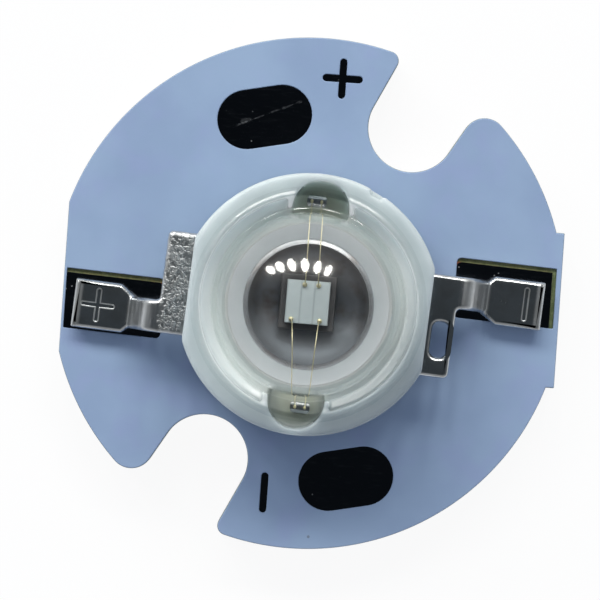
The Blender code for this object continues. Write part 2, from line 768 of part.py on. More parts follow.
def lead_mesh(slotted):
    """The right lead's middle surface, folded down to its tip and up to its post."""
    outline, slot = lead_blank()
    shape = outline_shape([outline, slot] if slotted else [outline])
    bmesh.ops.remove_doubles(shape, verts=shape.verts, dist=WELD)
    cuts = []
    for step in range(BEND_STEPS + 1):
        share = step / BEND_STEPS
        cuts.append(((FOLD_START + FOLD_ARC * share, 0, 0), (1, 0, 0)))
        cuts.append(((FOLD_START + FOLD_LENGTH - FOLD_ARC * share, 0, 0), (1, 0, 0)))
        tab = ARM_OUTER + ARM_TO_POST + BEND_RADIUS * math.pi / 2 * share
        cuts.append(((0, -tab, 0), (0, 1, 0)))
    for point, normal in cuts:
        everything = shape.verts[:] + shape.edges[:] + shape.faces[:]
        bmesh.ops.bisect_plane(shape, geom=everything, dist=WELD, plane_co=point, plane_no=normal)
    for vert in shape.verts:
        if vert.co.x > FOLD_START:
            vert.co.x, drop = folded_down(vert.co.x)
            vert.co.z = -drop
        elif vert.co.y < -(ARM_OUTER + ARM_TO_POST):
            vert.co.y, vert.co.z = folded_up(vert.co.y)
    return mesh_from("lead", shape)


def make_leads(emitter):
    """Both leads: the anode with a sunken plus, and the cathode with a slot and a sunken minus."""
    metal = finish("lead_metal", (0.52, 0.53, 0.55), 1.0, 0.25)
    leads = []
    for name, turn, slotted in (("cathode_lead", 0, True), ("anode_lead", 180, False)):
        lead = place(name, lead_mesh(slotted), emitter, metal, (0, 0, LEAD_MIDDLE), turn)
        sheet = lead.modifiers.new("Sheet", "SOLIDIFY")
        sheet.thickness = LEAD_THICKNESS
        sheet.offset = 0.0
        sheet.use_even_offset = True
        leads.append(lead)
    cathode, anode = leads
    along = (MARK_WIDTH, MARK_LENGTH, 2 * MARK_DEPTH)
    across = (MARK_LENGTH, MARK_WIDTH, 2 * MARK_DEPTH)
    tip_top = TIP_MIDDLE + LEAD_THICKNESS / 2
    minus_at = (LEAD_SPAN / 2 - MINUS_TO_END, TIP_Y, tip_top)
    plus_at = (PLUS_TO_END - LEAD_SPAN / 2, -TIP_Y, tip_top)
    combine(cathode, "DIFFERENCE", box("minus_mark", along, minus_at, emitter))
    combine(anode, "DIFFERENCE", box("plus_upright", along, plus_at, emitter))
    combine(anode, "DIFFERENCE", box("plus_crossbar", across, plus_at, emitter))
    return leads


def make_solder(emitter):
    """The solder under each lead tip."""
    solder = finish("tip_solder", (0.62, 0.63, 0.64), 1.0, 0.3)
    bottom = TIN_TOP + FIT - SLUG_BOTTOM
    top = TIP_LIFT - FIT
    west = TIP_START + SOLDER_INSET
    east = LEAD_SPAN / 2 - SOLDER_INSET
    size = (east - west, TIP_WIDTH - 2 * SOLDER_INSET, top - bottom)
    for name, side in (("solder_negative", 1), ("solder_positive", -1)):
        box(name, size, (side * (west + east) / 2, side * TIP_Y, (bottom + top) / 2), emitter, solder)


def over_pocket(name, side, beyond, bottom, top, emitter):
    """A column over a pocket, wider than it all round, with round ends about its inner and outer centre."""
    middle = Vector((0, side * (POCKET_IN + POCKET_OUT) / 2))
    length = POCKET_OUT - POCKET_IN + 2 * POCKET_RADIUS
    outline = stadium(middle, length, 2 * POCKET_RADIUS, 90, -beyond)
    return plate(name, [outline], bottom, top, emitter)


def make_body(emitter, leads):
    """The ring with its recess, flats, pockets, gate mark and the cavities round both leads."""
    plastic = finish("body_plastic", (0.62, 0.68, 0.69), 0.0, 0.4)
    outer_centre = Vector((BODY_RADIUS - BODY_ROUND, BODY_TOP - BODY_ROUND))
    inner_centre = Vector((RECESS_RADIUS + RECESS_ROUND, BODY_TOP - RECESS_ROUND))
    profile = [
        *arc(outer_centre, BODY_ROUND, 90, 0, EDGE_STEP),
        (BODY_RADIUS, BODY_FOOT + BODY_CHAMFER),
        (BODY_RADIUS - BODY_CHAMFER, BODY_FOOT),
        (SLUG_RADIUS + FIT, BODY_FOOT),
        (SLUG_RADIUS + FIT, SLUG_FOOT + FIT),
        (STEM_RADIUS + FIT, SLUG_FOOT + FIT),
        (STEM_RADIUS + FIT, SLUG_HEIGHT),
        (RECESS_RADIUS, SLUG_HEIGHT),
        *arc(inner_centre, RECESS_ROUND, 180, 90, EDGE_STEP),
    ]
    body = turned("body", profile, emitter, plastic)
    above = BODY_TOP + FIT
    lens_seat = cylinder(
        "lens_seat", FLANGE_RADIUS + LAND_CLEARANCE, 0, above, emitter, segments=TURN_STEPS
    )
    land_bottom = SLUG_HEIGHT - POCKET_DEPTH / 2
    land_top = BODY_TOP - LAND_DROP
    for side, name in ((1, "north"), (-1, "south")):
        land = over_pocket("land_" + name, side, LAND_WALL, land_bottom, land_top, emitter)
        combine(land, "DIFFERENCE", lens_seat)
        combine(body, "UNION", land)
    floor = SLUG_HEIGHT - POCKET_DEPTH
    for side, name in ((1, "north"), (-1, "south")):
        combine(body, "DIFFERENCE", over_pocket("pocket_" + name, side, 0, floor, above, emitter))
    flat_size = (2 * FLAT_CUT, 2 * BODY_RADIUS, 2 * (above - LEAD_TOP))
    for side, name in ((1, "east"), (-1, "west")):
        flat_at = (side * BODY_RADIUS, 0, above + FIT)
        combine(body, "DIFFERENCE", box("flat_" + name, flat_size, flat_at, emitter))
    gate_at = turned_by([Vector((BODY_RADIUS, 0))], GATE_ANGLE)[0]
    gate_size = (2 * GATE_DEPTH, GATE_WIDTH, 2 * GATE_HEIGHT)
    combine(body, "DIFFERENCE", box("gate_mark", gate_size, (*gate_at, above), emitter, turn=GATE_ANGLE))
    combine(body, "DIFFERENCE", *[seat(lead) for lead in leads])


def make_die_stack(emitter):
    """The die on its submount, with two gold pads along each of its south and north edges."""
    attach = finish("die_attach_paste", (0.5, 0.5, 0.48), 1.0, 0.5)
    ceramic = finish("submount_grey", (0.35, 0.37, 0.38), 0.0, 0.4)
    crystal = finish("die_crystal", (0.62, 0.66, 0.68), 0.0, 0.3)
    gold = finish("gold", (0.95, 0.68, 0.30), 1.0, 0.2)
    at = DIE_OFFSET
    stack = [
        ("die_attach", ATTACH_SIDE, DIE_ATTACH_BOTTOM, ATTACH_THICKNESS, attach),
        ("submount", SUBMOUNT_SIDE, SUBMOUNT_BOTTOM, SUBMOUNT_THICKNESS, ceramic),
        ("die", DIE_SIDE, DIE_BOTTOM, DIE_THICKNESS, crystal),
    ]
    made = []
    for name, side, bottom, thickness, material in stack:
        location = (*at, bottom + thickness / 2)
        made.append(box(name, (side, side, thickness), location, emitter, material, DIE_TURN))
    pads = []
    rows = ((-1, "south", SOUTH_BOND_PADS), (1, "north", NORTH_BOND_PADS))
    for side, row, columns in rows:
        for number, from_west in enumerate(columns, start=1):
            on_die = Vector((from_west - DIE_SIDE / 2, side * (DIE_SIDE / 2 - BOND_PAD_INSET)))
            centre = at + turned_by([on_die], DIE_TURN)[0]
            top = BOND_PAD_BOTTOM + BOND_PAD_THICKNESS
            name = f"bond_pad_{row}_{number}"
            pad = cylinder(name, BOND_PAD_RADIUS, BOND_PAD_BOTTOM, top, emitter, gold, centre, 16)
            pads.append((side, row, number, centre))
            made.append(pad)
    return made, pads, gold


def wire_route(pad, side, end_x):
    """A wire from a bond pad over the cup's rim, down under the lens flange and onto a post."""
    start = Vector((abs(pad.y), BOND_PAD_BOTTOM + BOND_PAD_THICKNESS + FIT))
    ledge = Vector((POCKET_IN - POCKET_RADIUS + WIRE_PAST_LEDGE, SLUG_HEIGHT + WIRE_OVER_LEDGE))
    end = Vector((POST_OUT, POST_TOP + FIT + WIRE_RADIUS))
    up = start + Vector((0, WIRE_LOOP))
    across = ledge + Vector((-WIRE_REACH, WIRE_FALL))
    down = ledge + Vector((WIRE_DROP, -WIRE_DROP))
    under = Vector((CAVITY_RADIUS, end.y - WIRE_SAG))
    over = interpolate_bezier(start, up, across, ledge, WIRE_STEPS)
    beneath = interpolate_bezier(ledge, down, under, end, WIRE_STEPS)
    route = []
    for y, z in over[:-1] + beneath:
        share = (y - start.x) / (end.x - start.x)
        route.append((pad.x + (end_x - pad.x) * share, side * y, z))
    return route


def make_wires(emitter, pads, gold):
    wires = []
    for side, row, number, pad in pads:
        curve = bpy.data.curves.new(f"bond_wire_{row}_{number}", "CURVE")
        curve.dimensions = "3D"
        curve.bevel_depth = WIRE_RADIUS
        curve.bevel_resolution = 2
        curve.use_fill_caps = True
        outward = -1 if number == 1 else 1
        end_x = -side * POST_SHIFT + outward * WIRE_END_SPREAD
        route = wire_route(pad, side, end_x)
        spline = curve.splines.new("POLY")
        spline.points.add(len(route) - 1)
        for point, station in zip(spline.points, route):
            point.co = (*station, 1)
        wires.append(place(curve.name, curve, emitter, gold))
    return wires


def make_silicone(emitter, enclosed):
    """The clear gel in the lens, the cup and the pockets, open where it meets what it encloses."""
    gel = finish("clear_gel", (0.96, 0.97, 0.97), 0.0, 0.02, clear=1.0)
    dome = on_axis(dome_arc(CAVITY_RADIUS - FIT, FLANGE_BOTTOM))
    cup = cup_wall(FIT)[::-1]
    silicone = turned("silicone_fill", [*dome, *cup, (0, CUP_FLOOR + FIT)], emitter, gel)
    floor = SLUG_HEIGHT - POCKET_DEPTH + FIT
    top = FLANGE_BOTTOM + GEL_STEP
    within = CAVITY_RADIUS - FIT - GEL_STEP
    inside = cylinder("flange_inside", within, 0, BODY_TOP, emitter, segments=TURN_STEPS)
    above = cylinder("flange_space", BODY_RADIUS, FLANGE_BOTTOM - FIT, BODY_TOP, emitter)
    combine(above, "DIFFERENCE", inside)
    for side, name in ((1, "north"), (-1, "south")):
        column = over_pocket("gel_" + name, side, -FIT, floor, top, emitter)
        combine(column, "DIFFERENCE", above)
        combine(silicone, "UNION", column)
    combine(silicone, "DIFFERENCE", *[seat(piece) for piece in enclosed])


clear_scene()
parts = new_collection("star_board_led")
cutters = new_collection("cutters")
board_frame = new_empty("board_frame", None, scale=MILLIMETRE)
emitter_frame = new_empty("emitter_frame", board_frame, (EMITTER_X, EMITTER_Y, SLUG_BOTTOM), EMITTER_TURN)

make_board(board_frame)
copper_areas = make_copper(board_frame)
make_mask(board_frame, copper_areas)
make_tin(board_frame)
make_slug(board_frame, emitter_frame)
make_lens(emitter_frame)
both_leads = make_leads(emitter_frame)
make_solder(emitter_frame)
make_body(emitter_frame, both_leads)
die_pieces, bond_pads, gold_finish = make_die_stack(emitter_frame)
bond_wires = make_wires(emitter_frame, bond_pads, gold_finish)
make_silicone(emitter_frame, [*die_pieces, *bond_wires, *both_leads])
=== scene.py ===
import math

import bmesh
import bpy
from mathutils import Matrix, Vector


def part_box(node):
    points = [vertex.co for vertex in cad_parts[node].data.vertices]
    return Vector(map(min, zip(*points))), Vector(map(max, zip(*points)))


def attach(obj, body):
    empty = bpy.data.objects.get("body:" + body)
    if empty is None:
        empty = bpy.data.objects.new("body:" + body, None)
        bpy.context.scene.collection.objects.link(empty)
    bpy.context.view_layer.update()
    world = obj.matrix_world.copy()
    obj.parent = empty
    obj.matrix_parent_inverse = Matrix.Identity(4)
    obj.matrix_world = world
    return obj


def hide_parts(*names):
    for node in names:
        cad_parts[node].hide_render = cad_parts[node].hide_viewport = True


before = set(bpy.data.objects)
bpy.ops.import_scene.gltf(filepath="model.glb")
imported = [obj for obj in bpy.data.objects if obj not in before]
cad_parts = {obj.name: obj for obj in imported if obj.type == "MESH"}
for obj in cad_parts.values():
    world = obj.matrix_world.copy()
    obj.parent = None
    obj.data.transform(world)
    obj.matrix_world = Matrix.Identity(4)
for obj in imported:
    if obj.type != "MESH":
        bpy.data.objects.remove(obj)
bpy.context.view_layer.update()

# Everything is drawn in millimetres, and each finished piece is scaled to metres.
# The emitter is drawn in its own frame, with z = 0 under its slug. Angles are in degrees.
MM = 0.001
WELD = 0.0004
FILLET_LIMIT = 0.45  # of the edges beside a corner
CREASE = 50
SHEET_CREASE = 10


def span(node):
    """The lowest and the highest corner of a CAD node, in millimetres."""
    low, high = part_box(node)
    return low / MM, high / MM


# Board outline and layers
BOARD_RADIUS = 8.0
FLAT_X = -span("base_plate")[0].x
TAB_X = span("base_plate")[1].x
TAB_WIDTH = 4.86
TAB_ROUND = 0.04
NOTCH_ANGLE = 61.7
NOTCH_RADIUS = 1.375
NOTCH_DEPTH = 3.27
NOTCH_FLARE = 2.5
NOTCH_LIP_WIDE = 0.7
NOTCH_LIP_TIGHT = 0.3
MASK_INSET = 0.012
CORE_TOP = span("base_plate")[1].z
LAMINATE_TOP = span("copper_positive")[0].z
COPPER_TOP = span("copper_positive")[1].z
MASK_TOP = span("solder_mask")[1].z
TIN_TOP = span("tin_plus")[1].z
CORE_EDGE = 0.06
LAMINATE_EDGE = 0.01
MASK_EDGE = 0.03
TIN_EDGE = 0.012

# Openings in the mask
LEAD_END = 7.25
POSITIVE_PAD = {"length": 3.04, "beyond": 0.31, "shift": 0.12}
NEGATIVE_PAD = {"length": 3.13, "beyond": 0.46, "shift": 0.285}
PAD_WIDTH = 1.87
PAD_TILT = -2.7
PAD_INNER_ROUND = 0.16
PAD_OUTER_ROUND = 0.03
SLIT_WIDTH = 0.13
WIRE_PAD_LENGTH = 2.97
WIRE_PAD_WIDTH = 1.85
WIRE_PAD_TURN = 12.2
SIGN_LENGTH = 1.25
SIGN_WIDTH = 0.22
CENTRE_OPENING = 3.3

# Marks of wear in the tin: x, y, turn and half length
SCRATCH = (-1.66, 5.5, 24, 1.12)
SCUFF = (-2.3, 5.26, 15, 0.12)

# The emitter's seat
SLUG_LOW, SLUG_HIGH = span("heat_slug")
SEAT_X = (SLUG_LOW.x + SLUG_HIGH.x) / 2
SEAT_Y = (SLUG_LOW.y + SLUG_HIGH.y) / 2
SEAT_Z = SLUG_LOW.z
SEAT_TURN = -3.5
SEAT = Matrix.Translation((SEAT_X, SEAT_Y, SEAT_Z)) @ Matrix.Rotation(math.radians(SEAT_TURN), 4, "Z")

# Slug and cup
SLUG_HEIGHT = SLUG_HIGH.z - SLUG_LOW.z
SLUG_RADIUS = 2.8
SLUG_FOOT = 1.0
STEM_RADIUS = 1.5
CUP_SPREAD = 0.51
CUP_DEPTH = 0.6
CUP_STEPS = 12
CUP_EDGE = 1.33
CUP_SHOULDER = 0.1
SHOULDER_ROUND = 0.3
SHOULDER_TILT = 20.0
RIM_RISE = 0.07
CUP_FLOOR = SLUG_HEIGHT - CUP_DEPTH
SLUG_EDGE = 0.035

# Body
BODY_RADIUS = 4.0
BODY_FOOT = 0.25
BODY_TOP = 3.1
BODY_ROUND = 0.12
BODY_CHAMFER = 0.1
RECESS_RADIUS = 3.3
RECESS_ROUND = 0.1
GROOVE_INNER = 0.16
GROOVE_OUTER = 0.3
FLAT_AT = 3.68
FLAT_CUT = 1.0
POCKET_OUT = 2.94
POCKET_RADIUS = 0.86
POCKET_FLOOR = 2.05
LAND_RADIUS = 1.02
LAND_TOP = 3.0
GATE_ANGLE = 65.7
GATE_SIZE = (0.3, 0.4, 1.8)
MOULD_GRAIN = 0.05
MOULD_SOFTENING = 4
FLASH = 0.015
FLASH_REACH = 0.3
# The next three set where the body's colour is lightened as painted light: under the flange's edge, and in
# the groove past it.
UNDER_FLANGE = (2.5, 2.75)
FLANGE_FADE = 0.06
RECESS_FADE = 0.08
LIP_FADE = (RECESS_RADIUS + 0.03, RECESS_RADIUS + 0.21)
OUTER_FADE = (RECESS_RADIUS + 0.25, RECESS_RADIUS + 0.4)
TINGE_REACH = (0.25, 1.15)
TINGE_HEIGHT = (2.6, 2.95)

# Lens, with the gel under it
DOME_RADIUS = 2.82
FLANGE_RADIUS = 2.98
FLANGE_ROUND = 0.08
FLANGE_TOP = 2.8
CLEAR_TUCK = 0.02
CLEAR_SWELL = 0.01
WELL_SWELL = 0.02
DOME_FADE = 0.4

# Leads
LEAD_THICKNESS = 0.4
LEAD_MIDDLE = 1.4
TIP_MIDDLE = 0.285
LEAD_EDGE = 0.15
BEND_RADIUS = 0.3
BEND_TURN = math.radians(62.0)
BEND_STEPS = 7
FOLD_START = 4.62
FOLD_ARC = BEND_RADIUS * BEND_TURN
FOLD_DROP = LEAD_MIDDLE - TIP_MIDDLE
FOLD_STRAIGHT = (FOLD_DROP - 2 * BEND_RADIUS * (1 - math.cos(BEND_TURN))) / math.sin(BEND_TURN)
FOLD_RUN = 2 * BEND_RADIUS * math.sin(BEND_TURN) + FOLD_STRAIGHT * math.cos(BEND_TURN)
FOLD_LENGTH = 2 * FOLD_ARC + FOLD_STRAIGHT
POST_FOLD_START = -2.85
PLATE_START = 2.6
PLATE_END = 4.55
PLATE_SOUTH = -1.72
PLATE_NORTH = 1.46
PLATE_FOOT = -0.3
PLATE_ROUND = 0.2
NECK_SOUTH = 0.46
NECK_FILLET = 0.15
TIP_SOUTH = 0.12
TIP_NORTH = 1.63
TIP_ROUND = 0.06
SOUTH_STEP = 0.25
SOUTH_STEP_ROUND = 0.2
NORTH_STEP = 0.1
NORTH_STEP_ROUND = 0.12
SLOT_WEST = 3.89
SLOT_EAST = 4.39
SLOT_SOUTH = -1.09
SLOT_NORTH = -0.01
SLOT_ROUND = 0.25
ARM_INNER = 2.3
ARM_OUTER = 2.82
ARM_START = -12
ARM_STEP = 5
POST_WEST = -0.15
POST_EAST = 0.45
POST_TOP = 2.36
MARK_WIDTH = 0.14
MARK_LENGTH = 1.05
MARK_DEPTH = 0.06
MARK_EDGE = 0.03
MARK_OUTLINE = 0.035
MARK_HALF = (MARK_LENGTH - MARK_WIDTH) / 2
MINUS_X = 6.7
PLUS_X = 6.49
MARK_Y = 0.875
SOLDER_LENGTH = 1.55
SOLDER_WIDTH = 1.25
SOLDER_EDGE = 0.03
SOLDER_SWELL = 0.02

# Die stack and wires
DIE_OFFSET = Vector((-0.02, 0.04))
DIE_TURN = 2.7
DIE_SIDE = 0.9
DIE_TOP = 2.21
DIE_EDGE = 0.012
DIE_LINES = (-0.15, 0.13)
LINE_FADE = (0.008, 0.028)
CHIP_THICKNESS = 0.17
SUBMOUNT_SIDE = 1.12
SUBMOUNT_MIDDLE = 1.965
SUBMOUNT_EDGE = 0.02
BOND_PADS = {
    "south_1": (-0.32, -0.37, 0.0),
    "south_2": (0.28, -0.37, 0.3),
    "north_1": (-0.09, 0.37, -0.3),
    "north_2": (0.2, 0.37, 0.0),
}
PAD_TOP = 2.24
BOND_PAD_RADIUS = 0.05
BOND_PAD_EDGE = 0.01
BALL_RADIUS = 0.045
BALL_SQUASH = (1, 1, 0.6)
WEDGE_SQUASH = (1, 1.3, 0.5)
WIRE_RADIUS = 0.0127
WIRE_LEDGE = Vector((2.18, 2.5))
WIRE_END = Vector((3.15, 2.3925))
WIRE_RISE = Vector((0, 1.0))
WIRE_ARRIVE = Vector((-0.9, 0.7))
WIRE_LEAVE = Vector((0.09, -0.09))
WIRE_LAST_BEND = Vector((2.35, WIRE_END.y - 0.033))

# Camera and light
VIEW_HEIGHT = 110.0
VIEW_WIDTH = 18.75
VIEW_TURN = 4.0
VIEW_CENTRE = (-0.2346, -0.2294)
SENSOR = 36.0
RAY_KINDS = ("Is Camera Ray", "Is Glossy Ray", "Is Transmission Ray")
FILL = (0.39, 0.42, 0.5, 1)
NORTH = (0.5, 0.5, 0.5, 1)
SOUTH = (0.4, 0.4, 0.4, 1)
SIDES = (0.15, 0.155, 0.16, 1)
HORIZON = (0.42, 0.44, 0.44, 1)
OVERHEAD = (0.042, 0.05, 0.056, 1)
NORTH_FADE = (0.1, 0.6)
SOUTH_FADE = (0.2, 0.7)
HORIZON_FADE = (0.1, 0.4)
OVERHEAD_FADE = (0.6, 0.88)
FLOOR_SIZE = 2.0
FLOOR_PAPER = (0.9, 0.9, 0.9, 1)
FLOOR_GLOW = 0.92
LAMP_COUNT = 6
LAMP_SIZE = (0.058, 0.125)
LAMP_FIRST = Vector((-1.09, 1.0, 0.66))
LAMP_LAST = Vector((0.58, 1.0, 1.0))
LAMP_AWAY = 0.3
LAMP_WATTS = 0.32
LAMP_COLOUR = (1.0, 0.98, 0.93)


class Socket:
    """One output of a material's nodes. Sums written on it add Math nodes."""

    def __init__(self, tree, output=None):
        self.tree = tree
        self.output = output

    def node(self, kind, settings=None, inputs=None, output=0):
        """A new node: its settings first, then the values or links of its inputs."""
        made = self.tree.nodes.new(kind)
        for name, value in (settings or {}).items():
            setattr(made, name, value)
        for name, value in (inputs or {}).items():
            if isinstance(value, Socket):
                self.tree.links.new(value.output, made.inputs[name])
            else:
                made.inputs[name].default_value = value
        return Socket(self.tree, made.outputs[output])

    def sum(self, operation, first, second):
        """A Math node on two values."""
        return self.node("ShaderNodeMath", {"operation": operation}, {0: first, 1: second})

    def __add__(self, other):
        return self.sum("ADD", self, other)

    def __radd__(self, other):
        return self.sum("ADD", other, self)

    def __sub__(self, other):
        return self.sum("SUBTRACT", self, other)

    def __rsub__(self, other):
        return self.sum("SUBTRACT", other, self)

    def __mul__(self, other):
        return self.sum("MULTIPLY", self, other)

    def __rmul__(self, other):
        return self.sum("MULTIPLY", other, self)

    def absolute(self):
        return self.sum("ABSOLUTE", self, 0.0)

    def part(self, axis):
        return self.node("ShaderNodeSeparateXYZ", {}, {"Vector": self}, axis)

    def noise(self, size, detail=2.0, stretch=(1, 1, 1)):
        """A cloudy pattern from 0 to 1 whose spots are about as wide as the size."""
        at = self.node("ShaderNodeMapping", {}, {"Vector": self, "Scale": stretch})
        return at.node("ShaderNodeTexNoise", {}, {"Vector": at, "Scale": 1 / size, "Detail": detail})

    def specks(self, size):
        """The distance to the nearest of many scattered points, in shares of the size."""
        return self.node("ShaderNodeTexVoronoi", {}, {"Vector": self, "Scale": 1 / size}, "Distance")

    def between(self, low, high):
        """0 below the low value, 1 above the high one, and smooth in between."""
        return self.node(
            "ShaderNodeMapRange",
            {"interpolation_type": "SMOOTHSTEP"},
            {"Value": self, "From Min": low, "From Max": high},
        )

    def shade(self, first, second):
        """The first colour where this is 0, and the second one where it is 1."""
        return self.node("ShaderNodeMix", {"data_type": "RGBA"}, {0: self, 6: first, 7: second}, 2)

    def relief(self, depth):
        """A surface raised by this pattern, the depth in millimetres."""
        return self.node("ShaderNodeBump", {}, {"Height": self, "Distance": depth * MM, "Strength": 1.0})

    def from_axis(self):
        """The distance in millimetres from the upright axis."""
        flat = self.node("ShaderNodeVectorMath", {"operation": "MULTIPLY"}, {0: self, 1: (1, 1, 0)})
        return flat.node("ShaderNodeVectorMath", {"operation": "LENGTH"}, {0: flat}, "Value")

    def from_line(self, x, y, turn, half_length):
        """The distance in millimetres from a straight mark about (x, y), turned from the X axis."""
        at = self.node(
            "ShaderNodeMapping",
            {"vector_type": "TEXTURE"},
            {"Vector": self, "Location": (x, y, 0), "Rotation": (0, 0, math.radians(turn))},
        )
        along = at.part("X").absolute() - half_length
        past = along.sum("MAXIMUM", along, 0.0)
        across = at.part("Y")
        squares = past * past + across * across
        return squares.node("ShaderNodeMath", {"operation": "SQRT"}, {0: squares})


def rgb(red, green, blue):
    """A colour from values as an image shows them, 0 to 255."""
    return (*[((value / 255 + 0.055) / 1.055) ** 2.4 for value in (red, green, blue)], 1.0)


def finish(name, look, seated=False):
    """A material of one Principled shader, whose inputs the look works out from places in millimetres."""
    material = bpy.data.materials.new(name)
    material.use_nodes = True
    tree = material.node_tree
    shader = tree.nodes["Principled BSDF"]
    at = Socket(tree).node("ShaderNodeTexCoord", output="Object")
    if seated:
        placed = {
            "Vector": at,
            "Location": SEAT.translation * MM,
            "Rotation": (0, 0, math.radians(SEAT_TURN)),
            "Scale": (MM, MM, MM),
        }
        at = at.node("ShaderNodeMapping", {"vector_type": "TEXTURE"}, placed)
    else:
        at = at.node("ShaderNodeMapping", {}, {"Vector": at, "Scale": (1 / MM, 1 / MM, 1 / MM)})
    for name, value in look(at).items():
        if isinstance(value, Socket):
            tree.links.new(value.output, shader.inputs[name])
        else:
            shader.inputs[name].default_value = value
    return material


def aluminium_core(at):
    """Rolled sheet: fine lines along X, and short upright marks of the shear on its edges."""
    rolled = at.noise(0.03, 3.0, (0.04, 1, 0.3))
    cloud = at.noise(1.4)
    return {
        "Base Color": cloud.shade(rgb(196, 198, 201), rgb(214, 216, 219)),
        "Metallic": 1.0,
        "Roughness": 0.3 + 0.16 * rolled,
        "Normal": (rolled + 0.6 * at.noise(0.06, 2.0, (1, 1, 0.05))).relief(0.004),
    }


def laminate_olive(at):
    """Resin over glass cloth, whose bundles cross every third of a millimetre."""
    across = at.noise(0.05, 1.0, (0.25, 1, 1))
    along = at.noise(0.05, 1.0, (1, 0.25, 1))
    cloth = 0.5 * (across + along)
    return {
        "Base Color": cloth.between(0.35, 0.65).shade(rgb(82, 98, 58), rgb(110, 122, 82)),
        "Roughness": 0.5 + 0.2 * cloth,
        "Normal": cloth.relief(0.006),
    }


def copper_foil(at):
    """Etched copper, darker where it has tarnished."""
    tarnish = at.noise(0.5, 4.0)
    return {
        "Base Color": tarnish.between(0.4, 0.7).shade(rgb(214, 140, 104), rgb(148, 82, 58)),
        "Metallic": 1.0,
        "Roughness": 0.3 + 0.25 * tarnish,
        "Normal": at.noise(0.04).relief(0.002),
    }


def mask_lacquer(at):
    """Pale blue lacquer: soft clouds, orange peel, and a few dark specks of dust."""
    cloud = at.noise(2.6, 3.0)
    tint = at.noise(1.1, 2.0)
    speck = at.specks(1.7).between(0.018, 0.034)
    dusty = at.noise(1.9, 1.0).between(0.52, 0.56)
    clean = cloud.between(0.3, 0.7).shade(rgb(138, 160, 190), rgb(147, 170, 198))
    tinted = (0.3 * tint.between(0.45, 0.75)).shade(clean, rgb(146, 156, 200))
    peel = at.noise(0.16, 3.0)
    return {
        "Base Color": (1 - (1 - speck) * dusty * 0.55).shade(rgb(96, 92, 90), tinted),
        "Roughness": 0.48 + 0.1 * cloud,
        "Normal": (peel + 0.3 * at.noise(0.02)).relief(0.0015),
    }


def pad_tin(at):
    """Bright levelled tin, its colour darkened as a painted reflection of the dark room above: a smooth
    mirror with dust, fine rubs and one long scratch.
    """
    rubs = at.noise(0.05, 4.0, (0.12, 1, 1)).between(0.56, 0.72)
    dust = 1 - at.specks(0.33).between(0.045, 0.1)
    patches = at.noise(0.7, 2.0).between(0.46, 0.58)
    wander = 0.12 * (at.noise(0.4, 3.0) - 0.5)
    scratch = 1 - (at.from_line(*SCRATCH) + wander).between(0.014, 0.04)
    scuffed = 1 - (at.from_line(*SCUFF) + wander).between(0.05, 0.1)
    broken = scratch * at.noise(0.16, 3.0).between(0.34, 0.62) + 0.7 * scuffed
    light = 0.5 * dust * patches + 0.22 * broken + 0.04 * rubs
    return {
        # Painted reflection: the tin's base colour is dark, standing in for the dark room that the bright
        # mirror reflects; dust, rubs and the scratch lighten it.
        "Base Color": light.shade(rgb(62, 66, 74), rgb(214, 216, 214)),
        "Metallic": 1 - 0.5 * light,
        "Roughness": 0.09 + 0.14 * at.noise(1.3) + 0.5 * light,
        "Normal": (at.noise(0.5, 1.0) + 0.05 * rubs).relief(0.004),
    }


def joint_solder(at):
    """Reflowed solder: a bright skin with frosty patches."""
    frost = at.noise(0.12, 4.0).between(0.42, 0.66)
    return {
        "Base Color": frost.shade(rgb(206, 208, 210), rgb(168, 170, 171)),
        "Metallic": 1.0,
        "Roughness": 0.16 + 0.3 * frost,
        "Normal": at.noise(0.09, 3.0).relief(0.01),
    }


def slug_silver(at):
    """Silver plate: fine rings about the axis and a faint brown tarnish; its cup is darkened as painted
    shade, with a painted bluish-grey reflection on the cup's south wall, which is also rougher.
    """
    radius = at.from_axis()
    rings = radius.node("ShaderNodeTexNoise", {"noise_dimensions": "1D"}, {"W": radius, "Scale": 26.0})
    tarnish = at.noise(0.5, 3.0).between(0.42, 0.75)
    inside = 1 - radius.between(CUP_EDGE - 0.01, CUP_EDGE)
    clean = tarnish.shade(rgb(212, 215, 219), rgb(190, 184, 182))
    # Painted shade: the cup's silver is darkened, standing in for the dark that the reflector mirrors,
    # with the random brown tarnish kept.
    shaded_tarnished_cup = tarnish.shade(rgb(134, 139, 146), rgb(104, 94, 91))
    # Painted reflection: a bluish-grey tone over the cup's south wall, which is also made rougher there.
    south_sheen_and_roughness = (0 - at.part("Y") + 0.5 * at.noise(0.3, 3.0)).between(0.3, 0.9)
    dim = south_sheen_and_roughness.shade(shaded_tarnished_cup, rgb(116, 123, 130))
    return {
        "Base Color": inside.shade(clean, dim),
        "Metallic": 1.0,
        "Roughness": 0.2 + 0.06 * rings + inside * (0.12 + 0.38 * south_sheen_and_roughness),
        "Normal": (0.3 * rings + at.noise(0.35)).relief(0.004),
    }


